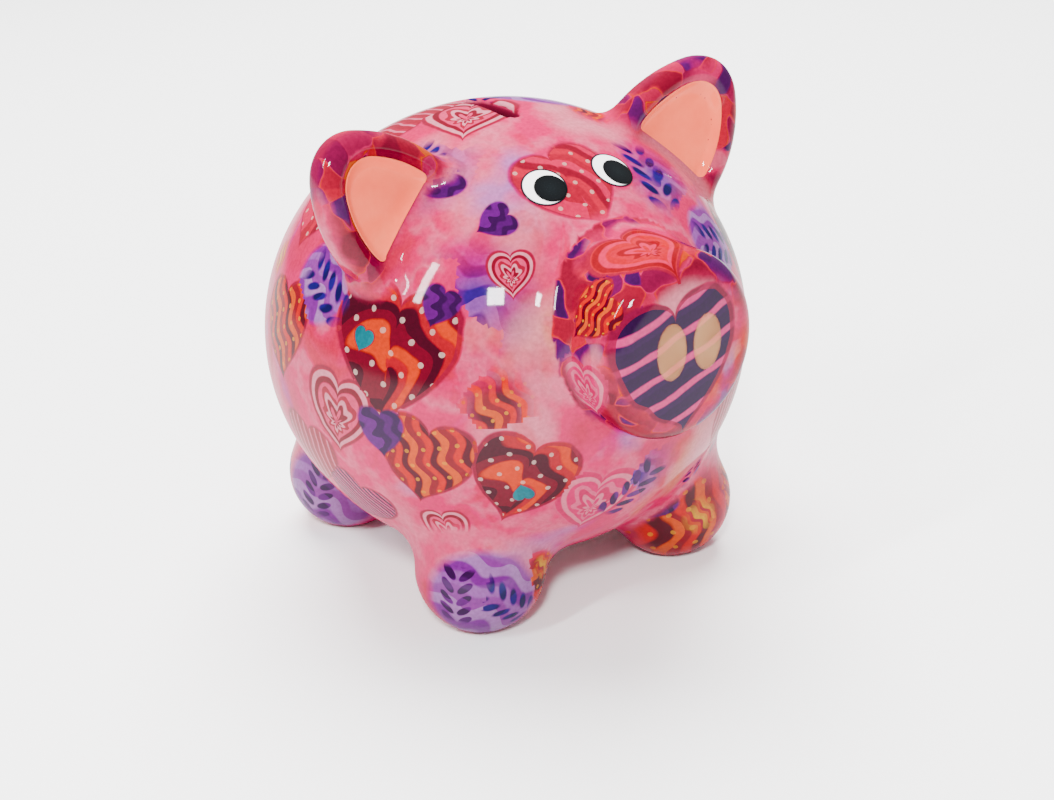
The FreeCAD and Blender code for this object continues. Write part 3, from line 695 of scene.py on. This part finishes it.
def snout_motifs(face, side):
    ahead = np.array([0.0, -1.0, 0.0])
    found = []
    for kind, across, up, half_width, turn in face:
        centre = np.array([across, -SNOUT_REACH, SNOUT_RISE + up])
        found.append(motif(kind, centre, ahead, half_width, turn, "snout"))
    for kind, angle, behind, half_width, turn in side:
        out = np.array([math.sin(math.radians(angle)), 0, math.cos(math.radians(angle))])
        centre = out * SNOUT_RADIUS + np.array([0, behind - SNOUT_REACH, SNOUT_RISE])
        found.append(motif(kind, centre, out, half_width, turn, "snout"))
    return found


def foot_motifs(rows):
    found = []
    for leg, kind, bearing, height, half_width, turn in rows:
        ball = np.array([*LEGS[leg], FOOT_RADIUS - SOLE_CUT - MIDDLE[2]])
        out = direction(bearing, height)
        found.append(motif(kind, ball + out * FOOT_RADIUS, out, half_width, turn, "leg"))
    return found


def heart_radius(across, up):
    return np.hypot(across, HEART_SQUASH * up - HEART_CLEFT * np.sqrt(np.abs(across)))


def corner_data(mesh):
    """The vertex and the face of every face corner."""
    vertex = np.empty(len(mesh.loops), np.int64)
    mesh.loops.foreach_get("vertex_index", vertex)
    count = np.empty(len(mesh.polygons), np.int64)
    mesh.polygons.foreach_get("loop_total", count)
    return vertex, np.repeat(np.arange(len(mesh.polygons)), count)


def face_data(mesh):
    """Middle (mm from the body's middle) and normal of every face."""
    middles = np.empty(len(mesh.polygons) * 3)
    normals = np.empty(len(mesh.polygons) * 3)
    mesh.polygons.foreach_get("center", middles)
    mesh.polygons.foreach_get("normal", normals)
    return middles.reshape(-1, 3) / MM - MIDDLE, normals.reshape(-1, 3)


def part_distances(points):
    return np.array([
        ellipsoid(points, BODY_RADIUS, BODY_HALF_HEIGHT), snout_distance(points),
        legs_distance(points), ears_distance(points), tail_distance(points)])


def store(mesh, name, kind, domain, values):
    attribute = mesh.attributes.new(name, kind, domain)
    attribute.data.foreach_set("vector" if kind == "FLOAT_VECTOR" else "value",
                               np.asarray(values, np.float32).ravel())


def lay_prints(mesh, layer, motifs):
    """Gives each face the print that it belongs to, and each corner its place on that print.

    A face can belong to one print of a layer, so prints that overlap lie in different layers.
    """
    middles, normals = face_data(mesh)
    region = np.argmin(part_distances(middles), axis=0)
    owner = np.full(len(middles), -1)
    best = np.full(len(middles), np.inf)
    for index, one in enumerate(motifs):
        offset = middles - one["centre"]
        across = offset @ one["right"] / one["half_width"]
        up = offset @ one["up"] / one["half_width"]
        outline = KINDS[one["kind"]][0]
        radius = heart_radius(across, up) if outline == HEART else np.hypot(across, up)
        facing = normals @ one["out"] > PRINT_FACING
        # where prints meet, a crisp one wins over a soft one
        rank = radius + KINDS[one["kind"]][2]
        own = (radius < PRINT_REACH) & (rank < best) & facing & (region == one["region"])
        own &= np.abs(offset @ one["out"]) < one["half_width"]
        best[own] = rank[own]
        owner[own] = index
    vertex, face = corner_data(mesh)
    points = read_points(mesh) / MM - MIDDLE
    centres, rights, ups = (
        np.array([one[key] for one in motifs]) for key in ("centre", "right", "up"))
    widths = np.array([one["half_width"] for one in motifs])
    corner_owner = owner[face]
    offset = points[vertex] - centres[corner_owner]
    across = np.einsum("ij,ij->i", offset, rights[corner_owner]) / widths[corner_owner]
    up = np.einsum("ij,ij->i", offset, ups[corner_owner]) / widths[corner_owner]
    place = mesh.uv_layers.new(name=layer)
    place.data.foreach_set("uv", np.column_stack([across, up]).astype(np.float32).ravel())
    palette_names = list(PALETTES)
    looks = np.array([
        (KINDS[one["kind"]][0], palette_names.index(KINDS[one["kind"]][1]), *KINDS[one["kind"]][2:])
        for one in motifs], float)[owner]
    outline, palette, softness, straight, around, spiral, wave, slant, dots = looks.T
    for name, columns in (("_course", (straight, around, spiral)),
                          ("_bands", (wave, np.radians(slant), dots)),
                          ("_form", (outline, palette, softness))):
        store(mesh, layer + name, "FLOAT_VECTOR", "FACE", np.column_stack(columns))
    store(mesh, layer + "_strength", "FLOAT", "FACE", owner >= 0)


# the film's mosaic on the ears begins this far off the body and is full this much further (mm)
EAR_MOSAIC_START, EAR_MOSAIC_FADE, EAR_BACK_SHARE = 1.0, 4.0, 0.75
# its ring on the snout's rim, and its strength on the tail
RIM_MOSAIC_PEAK, RIM_MOSAIC_IN, RIM_MOSAIC_FADE = 1.4, 0.5, 6.0
TAIL_MOSAIC = 0.8
JOIN_FADE = 3.5


def lay_masks(mesh):
    """Depth under the glaze, where the rims' mosaic lies, and where prints fade at a join."""
    points = read_points(mesh) / MM - MIDDLE
    parts = part_distances(points)
    depth = np.maximum(-outside_distance(points), 0)
    local = ear_local(points)
    off_body = np.min(parts[:3], axis=0)
    on_ear = np.clip((off_body - EAR_MOSAIC_START) / EAR_MOSAIC_FADE, 0, 1) * (parts[3] < 3.0)
    front = np.clip((local[:, 2] + EAR_CUP_DEPTH + 1.0) / 2.0, 0, 1)
    snout_radial = np.hypot(points[:, 0], points[:, 2] - SNOUT_RISE)
    off_rim = np.abs(snout_radial - SNOUT_RADIUS + RIM_MOSAIC_IN)
    on_rim = np.clip(RIM_MOSAIC_PEAK - off_rim / RIM_MOSAIC_FADE, 0, 1) * (parts[1] < 2.0)
    on_tail = TAIL_MOSAIC * (parts[4] < 0.6)
    on_ear = on_ear * (EAR_BACK_SHARE + (1 - EAR_BACK_SHARE) * front)
    mosaic = np.maximum(on_ear, np.maximum(on_rim, on_tail))
    ordered = np.sort(parts, axis=0)
    join = np.clip((ordered[1] - ordered[0]) / JOIN_FADE, 0, 1)
    store(mesh, "depth", "FLOAT", "POINT", depth)
    store(mesh, "mosaic", "FLOAT", "POINT", mosaic)
    store(mesh, "join", "FLOAT", "POINT", join)


# ------------------------------------------------------------------ materials

def linear(code):
    """A screen colour such as #F28BA8 as the linear colour that shaders work in."""
    parts = [int(code[start:start + 2], 16) / 255 for start in (1, 3, 5)]
    light = [part / 12.92 if part <= 0.04045 else ((part + 0.055) / 1.055) ** 2.4 for part in parts]
    return (*light, 1.0)


def spaced(size):
    """Scale of a pattern whose features are this many millimetres across."""
    return 1 / (size * MM)


def material(name):
    made = bpy.data.materials.new(name)
    made.use_nodes = True
    tree = made.node_tree
    tree.nodes.clear()
    return made, tree


def add(tree, kind, *inputs, output=0, stops=(), **settings):
    """Adds one node, such as "TexNoise" or "Math ADD", with its settings and links.

    Inputs fill its sockets in order (None leaves one alone, a dict names them); stops are the
    positions and screen colours of a ramp.
    """
    kind, _, operation = kind.partition(" ")
    node = tree.nodes.new("ShaderNode" + kind)
    if operation:
        node.operation = operation
    for key, value in settings.items():
        setattr(node, key, value)
    for index, (position, code) in enumerate(stops):
        elements = node.color_ramp.elements
        element = elements[index] if index < len(elements) else elements.new(position)
        element.position = position
        element.color = linear(code)
    pairs = []
    for index, value in enumerate(inputs):
        pairs += list(value.items()) if isinstance(value, dict) else [(index, value)]
    for socket, value in pairs:
        if value is None:
            continue
        if isinstance(value, bpy.types.NodeSocket):
            tree.links.new(value, node.inputs[socket])
        else:
            node.inputs[socket].default_value = value
    return node.outputs[output] if node.outputs else node


def glossed(tree, colour, sockets):
    """Clear gloss glaze over a colour, rippled by a few hundredths of a millimetre as fired glaze is.

    Only the glaze reflects, so the clay under it has no shine of its own.
    """
    place = add(tree, "TexCoord", output=3)
    ripple = add(tree, "TexNoise", {"Vector": place, "Scale": spaced(22.2), "Detail": 1.0})
    bump = add(tree, "Bump", {"Strength": 0.12, "Distance": 0.4 * MM, "Height": ripple})
    shader = add(tree, "BsdfPrincipled", {
        "Base Color": colour, "Roughness": 0.3, "IOR": 1.5, "Specular IOR Level": 0.0,
        "Coat Weight": GLAZE_COAT, "Coat Roughness": 0.05, "Normal": bump, "Coat Normal": bump,
        **sockets})
    add(tree, "OutputMaterial", shader)


def print_radius(tree, across, up, form):
    """How far out a point lies on its print: 1 at the edge of its heart, disc or leaf."""
    side = add(tree, "Math ABSOLUTE", across)
    across_squared = add(tree, "Math MULTIPLY", across, across)
    squashed = add(tree, "Math MULTIPLY", up, HEART_SQUASH)
    lobe = add(tree, "Math MULTIPLY_ADD", add(tree, "Math SQRT", side), -HEART_CLEFT, squashed)
    heart = add(tree, "Math SQRT", add(tree, "Math MULTIPLY_ADD", lobe, lobe, across_squared))
    disc = add(tree, "Math SQRT", add(tree, "Math MULTIPLY_ADD", up, up, across_squared))

    # leaves in pairs that slant up from a stem
    climb = add(tree, "Math MULTIPLY", up, LEAF_PAIRS)
    slant = add(tree, "Math MULTIPLY", side, LEAF_SLANT)
    pair = add(tree, "Math FRACT", add(tree, "Math SUBTRACT", climb, slant))
    leaf_up = add(tree, "Math MULTIPLY", add(tree, "Math SUBTRACT", pair, 0.5), LEAF_SHORT)
    leaf_out = add(tree, "Math MULTIPLY", add(tree, "Math SUBTRACT", side, LEAF_OUT), LEAF_NARROW)
    leaf_up_squared = add(tree, "Math MULTIPLY", leaf_up, leaf_up)
    leaf = add(tree, "Math SQRT", add(tree, "Math MULTIPLY_ADD", leaf_out, leaf_out, leaf_up_squared))
    stem = add(tree, "Math MULTIPLY", add(tree, "Math ABSOLUTE", up), STEM_END)
    leaf = add(tree, "Math MAXIMUM", leaf, stem)

    is_disc = add(tree, "Math COMPARE", form.outputs[0], float(DISC), 0.3)
    is_sprig = add(tree, "Math COMPARE", form.outputs[0], float(SPRIG), 0.3)
    radius = add(tree, "Math MULTIPLY_ADD", is_disc, add(tree, "Math SUBTRACT", disc, heart), heart)
    return add(tree, "Math MULTIPLY_ADD", is_sprig, add(tree, "Math SUBTRACT", leaf, radius), radius)


def along_bands(tree, across, up, bands):
    """A point's place along the bands' course and beside it."""
    cosine = add(tree, "Math COSINE", bands.outputs[1])
    sine = add(tree, "Math SINE", bands.outputs[1])
    along = add(tree, "Math MULTIPLY_ADD", up, sine, add(tree, "Math MULTIPLY", across, cosine))
    aside = add(tree, "Math MULTIPLY", across, sine)
    beside = add(tree, "Math SUBTRACT", add(tree, "Math MULTIPLY", up, cosine), aside)
    return along, beside


def banded(tree, turned, radius, along, beside, course, bands):
    """Where a point lies between the start of one band (0) and the start of the next (1)."""
    far = add(tree, "Math MULTIPLY", course.outputs[0], along)
    far = add(tree, "Math MULTIPLY_ADD", course.outputs[1], radius, far)
    far = add(tree, "Math MULTIPLY_ADD", course.outputs[2], turned, far)
    petals = add(tree, "Math SINE", add(tree, "Math MULTIPLY", turned, PETALS * 2 * math.pi))
    is_rosette = add(tree, "Math GREATER_THAN", course.outputs[1], 1.9)
    petals = add(tree, "Math MULTIPLY", petals, add(tree, "Math MULTIPLY", is_rosette, PETAL_DEPTH))
    inner = add(tree, "Math LESS_THAN", radius, PETAL_REACH)
    far = add(tree, "Math MULTIPLY_ADD", petals, inner, far)
    wave = add(tree, "Math SINE", add(tree, "Math MULTIPLY", beside, WAVE_RATE))
    far = add(tree, "Math MULTIPLY_ADD", bands.outputs[0], wave, far)
    return add(tree, "Math FRACT", far)


def band_colour(tree, band, form):
    """The band's colour in the print's own palette; neighbouring colours blur a little."""
    colour = None
    for index, codes in enumerate(PALETTES.values()):
        stops = []
        for step, code in enumerate(codes):
            start, end = step / len(codes), (step + 1) / len(codes)
            stops += [(start + BAND_BLUR, code), (end - BAND_BLUR, code)]
        shade = add(tree, "ValToRGB", band, stops=stops)
        chosen = add(tree, "Math COMPARE", form.outputs[1], float(index), 0.4)
        colour = shade if colour is None else add(tree, "MixRGB", chosen, colour, shade)
    return colour


def dotted(tree, colour, along, beside, dots):
    """Dots in a square grid over the bands, pale or orange."""
    across = add(tree, "Math FRACT", add(tree, "Math MULTIPLY", along, DOT_RATE))
    across = add(tree, "Math SUBTRACT", across, 0.5)
    up = add(tree, "Math FRACT", add(tree, "Math MULTIPLY", beside, DOT_RATE))
    up = add(tree, "Math SUBTRACT", up, 0.5)
    up_squared = add(tree, "Math MULTIPLY", up, up)
    dot = add(tree, "Math SQRT", add(tree, "Math MULTIPLY_ADD", across, across, up_squared))
    dot = add(tree, "Math LESS_THAN", dot, DOT_SIZE)
    dot = add(tree, "Math MULTIPLY", dot, add(tree, "Math GREATER_THAN", dots, 0.5))
    orange = add(tree, "Math GREATER_THAN", dots, 1.5)
    dot_colour = add(tree, "MixRGB", orange, linear("#F9DCD3"), linear("#F7A43C"))
    return add(tree, "MixRGB", add(tree, "Math MULTIPLY", dot, DOT_COVER), colour, dot_colour)


def print_layer(tree, layer, place):
    """Colour and cover of one layer of prints, from its map and attributes."""
    wobble = add(tree, "TexNoise", {"Vector": place, "Scale": spaced(7.7), "Detail": 1.0})
    wobble = add(tree, "Math MULTIPLY_ADD", wobble, 0.10, -0.05)
    spot = add(tree, "SeparateXYZ", add(tree, "UVMap", uv_map=layer)).node
    across = add(tree, "Math ADD", spot.outputs[0], wobble)
    up = add(tree, "Math ADD", spot.outputs[1], wobble)
    course, bands, form = (
        add(tree, "SeparateXYZ", add(tree, "Attribute", attribute_name=layer + name, output=1)).node
        for name in ("_course", "_bands", "_form"))
    radius = print_radius(tree, across, up, form)
    along, beside = along_bands(tree, across, up, bands)
    turned = add(tree, "Math DIVIDE", add(tree, "Math ARCTAN2", up, across), 2 * math.pi)
    band = banded(tree, turned, radius, along, beside, course, bands)
    colour = dotted(tree, band_colour(tree, band, form), along, beside, bands.outputs[2])

    # a darker printed line just inside crisp edges
    crisp = add(tree, "Math LESS_THAN", form.outputs[2], CRISP)
    line = add(tree, "Math MULTIPLY", add(tree, "Math GREATER_THAN", radius, OUTLINE_START), crisp)
    line = add(tree, "Math MULTIPLY", line, OUTLINE_COVER)
    colour = add(tree, "MixRGB", line, colour, linear("#A3183F"))

    cover = add(tree, "Math DIVIDE", add(tree, "Math SUBTRACT", 1.0, radius), form.outputs[2])
    cover = add(tree, "Clamp", cover)
    for attribute in (layer + "_strength", "join"):
        share = add(tree, "Attribute", attribute_name=attribute, output=2)
        cover = add(tree, "Math MULTIPLY", cover, share)
    return colour, cover


# clouds over the film's pink: size (mm), detail, how drawn out, where each starts and is full in
# the noise, how much it covers at most, its own part of the noise, and its colour
CLOUDS = [
    (52.6, 3.0, 0.6, 0.60, 0.72, 0.6, (0.0, 0.0, 0.0), "#EFB995"),
    (45.5, 3.0, 1.0, 0.57, 0.70, 0.75, (0.31, 0.12, 0.47), "#B08AC6"),
    (33.3, 3.0, 1.4, 0.58, 0.68, 0.7, (0.73, 0.55, 0.21), "#D62E48"),
    (58.8, 2.0, 0.0, 0.53, 0.66, 0.8, (0.17, 0.83, 0.65), "#FFBCC6"),
]


def film_ground(tree, place):
    """Mottled pink of the film between its prints, with beige, lavender, red and pale clouds."""
    cloud = add(tree, "TexNoise", {
        "Vector": place, "Scale": spaced(35.7), "Detail": 4.0, "Roughness": 0.6})
    colour = add(tree, "ValToRGB", cloud, stops=[
        (0.30, "#DA385E"), (0.44, "#F0688A"), (0.56, "#FA9CB0"), (0.72, "#E84C72")])
    for size, detail, drawn_out, start, full, most, part, code in CLOUDS:
        moved = add(tree, "VectorMath ADD", place, part)
        share = add(tree, "TexNoise", {
            "Vector": moved, "Scale": spaced(size), "Detail": detail, "Distortion": drawn_out})
        share = add(tree, "MapRange", {
            "Value": share, "From Min": start, "From Max": full, "To Max": most})
        colour = add(tree, "MixRGB", share, colour, linear(code))
    return colour


def rim_mosaic(tree, place):
    """Scraps of strong colour that the film shows where it wraps round the ears and snout."""
    bent = add(tree, "TexNoise", {"Vector": place, "Scale": spaced(16.7), "Detail": 2.0}, output=1)
    bend = (12 * MM, 12 * MM, 12 * MM)
    bent = add(tree, "VectorMath MULTIPLY_ADD", bent, bend, place)
    scrap = add(tree, "TexVoronoi", {"Vector": bent, "Scale": spaced(7.4), "Smoothness": 0.22},
                feature="SMOOTH_F1", output=1)
    pick = add(tree, "SeparateXYZ", scrap)
    return add(tree, "ValToRGB", pick, stops=[
        (0.00, "#7A0F30"), (0.30, "#B01636"), (0.44, "#DB2C46"), (0.50, "#E8672A"), (0.53, "#C01A40"),
        (0.64, "#E4557C"), (0.72, "#8E1440"), (0.84, "#5E1C62"), (1.00, "#300A40")])


# the studio's pale light washes colours out, so the film's are made stronger and darker
FILM_SATURATION, FILM_VALUE = 1.36, 0.46
# depth under the outside at which the film ends and the dark red painted shade on the wall of an
# opening begins, and where it is full (mm)
OPENING_SHADE_START, OPENING_SHADE_FULL = 0.9, 1.6
# how far short of the wall's whole thickness the bare clay of the money chamber begins and is full
CLAY_START, CLAY_FULL = 0.7, 0.3


def patterned_glaze():
    """Earthenware casting under a printed decal film and a clear gloss glaze.

    The glaze gives the eye sharp highlights over colours that stay deep. Inside it is bare clay.
    """
    made, tree = material("patterned_glaze_decal_film")
    place = add(tree, "TexCoord", output=3)
    colour = film_ground(tree, place)
    mosaic = add(tree, "Attribute", attribute_name="mosaic", output=2)
    patch = add(tree, "TexNoise", {"Vector": place, "Scale": spaced(23.8), "Detail": 2.0})
    patch = add(tree, "MapRange", {"Value": patch, "From Min": 0.36, "From Max": 0.46})
    mosaic = add(tree, "Math MULTIPLY", mosaic, patch)
    colour = add(tree, "MixRGB", mosaic, colour, rim_mosaic(tree, place))
    for layer in ("large_prints", "small_prints"):
        shade, cover = print_layer(tree, layer, place)
        colour = add(tree, "MixRGB", cover, colour, shade)
    # a printing screen's grain is about 0.1 mm; it is drawn at 1.1 mm, or it wouldn't show
    grain = add(tree, "TexNoise", {"Vector": place, "Scale": spaced(1.1), "Detail": 2.0})
    grain = add(tree, "ValToRGB", grain, stops=[(0.3, "#E4E4E4"), (0.7, "#FFFFFF")])
    colour = add(tree, "MixRGB", 1.0, colour, grain, blend_type="MULTIPLY")
    colour = add(tree, "HueSaturation", 0.5, FILM_SATURATION, FILM_VALUE, 1.0, colour)
    depth = add(tree, "Attribute", attribute_name="depth", output=2)
    # the walls of the slot, belly hole and stopper seat are painted dark red: painted shade in the
    # openings
    wall = add(tree, "MapRange", {"Value": depth, "From Min": OPENING_SHADE_START, "From Max": OPENING_SHADE_FULL})
    inside = add(tree, "MapRange", {
        "Value": depth, "From Min": WALL - CLAY_START, "From Max": WALL - CLAY_FULL})
    colour = add(tree, "MixRGB", wall, colour, linear("#6A0F2B"))
    clay = add(tree, "ValToRGB", patch, stops=[(0.0, "#E9DCCB"), (1.0, "#F2E8DA")])
    colour = add(tree, "MixRGB", inside, colour, clay)
    coat = add(tree, "Math MULTIPLY_ADD", inside, -GLAZE_COAT, GLAZE_COAT)
    glossed(tree, colour, {"Coat Weight": coat})
    return made


def disc_radius(tree):
    """How far out a point lies on a printed disc or oval: 1 at its edge."""
    return add(tree, "VectorMath LENGTH", add(tree, "UVMap", uv_map="print"), output=1)


def white_print():
    """White screen-printed transfer with a thin black outline, fired under the glaze."""
    made, tree = material("white_transfer_screen_print")
    colour = add(tree, "ValToRGB", disc_radius(tree), stops=[
        (0.0, "#FFFFFF"), (0.90, "#FCFBFB"), (0.935, "#15111A")])
    glossed(tree, colour, {})
    return made


def black_print():
    """Black screen-printed transfer, darkest at its edge where the ink gathers."""
    made, tree = material("black_transfer_screen_print")
    colour = add(tree, "ValToRGB", disc_radius(tree), stops=[
        (0.0, "#0E1214"), (0.85, "#0A0C0E"), (1.0, "#050506")])
    glossed(tree, colour, {})
    return made


def peach_print():
    """Translucent peach transfer, darker at its edge, through which the film below still shows."""
    made, tree = material("peach_transfer_screen_print")
    place = add(tree, "TexCoord", output=3)
    mottle = add(tree, "TexNoise", {"Vector": place, "Scale": spaced(6.25), "Detail": 3.0})
    colour = add(tree, "ValToRGB", mottle, stops=[(0.35, "#D08A50"), (0.65, "#E3A468")])
    edge = add(tree, "ValToRGB", disc_radius(tree), stops=[(0.86, "#000000"), (1.0, "#FFFFFF")])
    colour = add(tree, "MixRGB", edge, colour, linear("#B97048"))
    # light passes the film's front and its back, so together they cover about two thirds
    glossed(tree, colour, {"Alpha": 0.4})
    return made


def peach_patch():
    """Plain peach colour laid in the ear's cup under the glaze, a little uneven."""
    made, tree = material("peach_colour_under_glaze")
    place = add(tree, "TexCoord", output=3)
    cloud = add(tree, "TexNoise", {
        "Vector": place, "Scale": spaced(18.2), "Detail": 5.0, "Roughness": 0.65})
    colour = add(tree, "ValToRGB", cloud, stops=[
        (0.30, "#E95A3E"), (0.52, "#F06647"), (0.72, "#F47452")])
    glossed(tree, colour, {})
    return made


def soft_rubber():
    """Moulded soft rubber: a dull surface that takes a little light in, grubby in places."""
    made, tree = material("soft_rubber_moulded")
    place = add(tree, "TexCoord", output=3)
    cloud = add(tree, "TexNoise", {"Vector": place, "Scale": spaced(14.3), "Detail": 4.0})
    colour = add(tree, "ValToRGB", cloud, stops=[(0.3, "#D9D3C8"), (0.6, "#ECE7DE"), (0.8, "#F2EEE6")])
    # a mould's eroded texture is about 0.1 mm; it is drawn at 0.45 mm, or it wouldn't show
    fine = add(tree, "TexNoise", {"Vector": place, "Scale": spaced(0.45), "Detail": 2.0})
    bump = add(tree, "Bump", {"Strength": 0.25, "Distance": 0.08 * MM, "Height": fine})
    shader = add(tree, "BsdfPrincipled", {
        "Base Color": colour, "Roughness": 0.55, "IOR": 1.5, "Subsurface Weight": 0.15,
        "Subsurface Radius": (3 * MM, 2 * MM, 1.5 * MM), "Subsurface Scale": 1.0, "Normal": bump})
    add(tree, "OutputMaterial", shader)
    return made


def studio_paper():
    """Pale seamless paper, very slightly uneven."""
    made, tree = material("pale_paper")
    place = add(tree, "TexCoord", output=3)
    cloud = add(tree, "TexNoise", {"Vector": place, "Scale": spaced(333)})
    colour = add(tree, "ValToRGB", cloud, stops=[(0.3, "#FDFDFD"), (0.7, "#FFFFFF")])
    shader = add(tree, "BsdfPrincipled", {"Base Color": colour, "Roughness": 0.9})
    add(tree, "OutputMaterial", shader)
    return made


# ------------------------------------------------------------------ studio

# metres, and the strength of the even light from all round
FLOOR_REACH = 12.0
SKY_STRENGTH = 0.65
# name, bearing and height (degrees), distance, width and length (m), and power (W)
LAMPS = (
    ("window", -38, 41, 1.1, 0.13, 0.15, 15.0),
    ("side_window", -80, 42, 1.2, 0.07, 0.40, 11.0),
    ("overhead", 150, 66, 1.5, 1.3, 1.3, 110.0),
)


def studio():
    floor = bmesh.new()
    bmesh.ops.create_grid(floor, x_segments=1, y_segments=1, size=FLOOR_REACH)
    mesh = bpy.data.meshes.new("floor")
    floor.to_mesh(mesh)
    floor.free()
    stage = link(mesh, "floor")
    mesh.materials.append(studio_paper())
    world = bpy.data.worlds.new("studio")
    world.use_nodes = True
    sky = world.node_tree.nodes["Background"].inputs
    sky["Color"].default_value = (1, 1, 1, 1)
    sky["Strength"].default_value = SKY_STRENGTH
    bpy.context.scene.world = world
    for name, bearing, height, distance, width, length, power in LAMPS:
        lamp = bpy.data.lights.new(name, "AREA")
        lamp.shape = "RECTANGLE"
        lamp.size, lamp.size_y, lamp.energy = width, length, power
        holder = bpy.data.objects.new(name, lamp)
        towards = Vector(direction(bearing, height))
        holder.matrix_world = (Matrix.Translation(Vector(MIDDLE) * MM + towards * distance)
                               @ towards.to_track_quat("Z", "Y").to_matrix().to_4x4())
        # the large overhead lamp is kept out of reflections, where it would whiten the pig's back
        holder.visible_glossy = name != "overhead"
        bpy.context.scene.collection.objects.link(holder)


def camera():
    """Looks at a point a little aside from and below the body's middle."""
    azimuth, elevation, roll = (math.radians(angle) for angle in (-33.6, 25.4, -2.4))
    distance, aside, rise = 520.9, 5.6, -23.9
    back = Vector((
        math.sin(azimuth) * math.cos(elevation), -math.cos(azimuth) * math.cos(elevation),
        math.sin(elevation)))
    right = Vector((math.cos(azimuth), math.sin(azimuth), 0))
    up = back.cross(right)
    target = Vector(MIDDLE) + right * aside + up * rise
    place = target + back * distance
    turn = Matrix((right, up, back)).transposed() @ Matrix.Rotation(roll, 3, "Z")
    lens = bpy.data.cameras.new("camera")
    lens.lens = 56.6
    lens.sensor_width = 36.0
    view = bpy.data.objects.new("camera", lens)
    view.matrix_world = Matrix.Translation(place * MM) @ turn.to_4x4()
    bpy.context.scene.collection.objects.link(view)
    bpy.context.scene.camera = view


# ------------------------------------------------------------------ the object

skin = drawn_skin("glazed_skin", CASTINGS, VOXEL, pig_distance)
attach(skin, "pig")
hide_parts(*CASTINGS)
lay_masks(skin.data)
large = body_motifs(FLANK_LARGE, HEAD_LARGE)
large += snout_motifs(FACE_LARGE, SIDE_LARGE)
large += foot_motifs(FOOT_LARGE)
lay_prints(skin.data, "large_prints", large)
small = body_motifs(FLANK_SMALL, HEAD_SMALL) + foot_motifs(FOOT_SMALL)
lay_prints(skin.data, "small_prints", small)
skin.data.materials.append(patterned_glaze())
white, black, peach, plain = white_print(), black_print(), peach_print(), peach_patch()
for piece in eyes():
    piece.data.materials.append(black if "pupil" in piece.name else white)
for piece in nostrils():
    piece.data.materials.append(peach)
for piece in ear_patches():
    piece.data.materials.append(plain)
stopper().data.materials.append(soft_rubber())
studio()
camera()
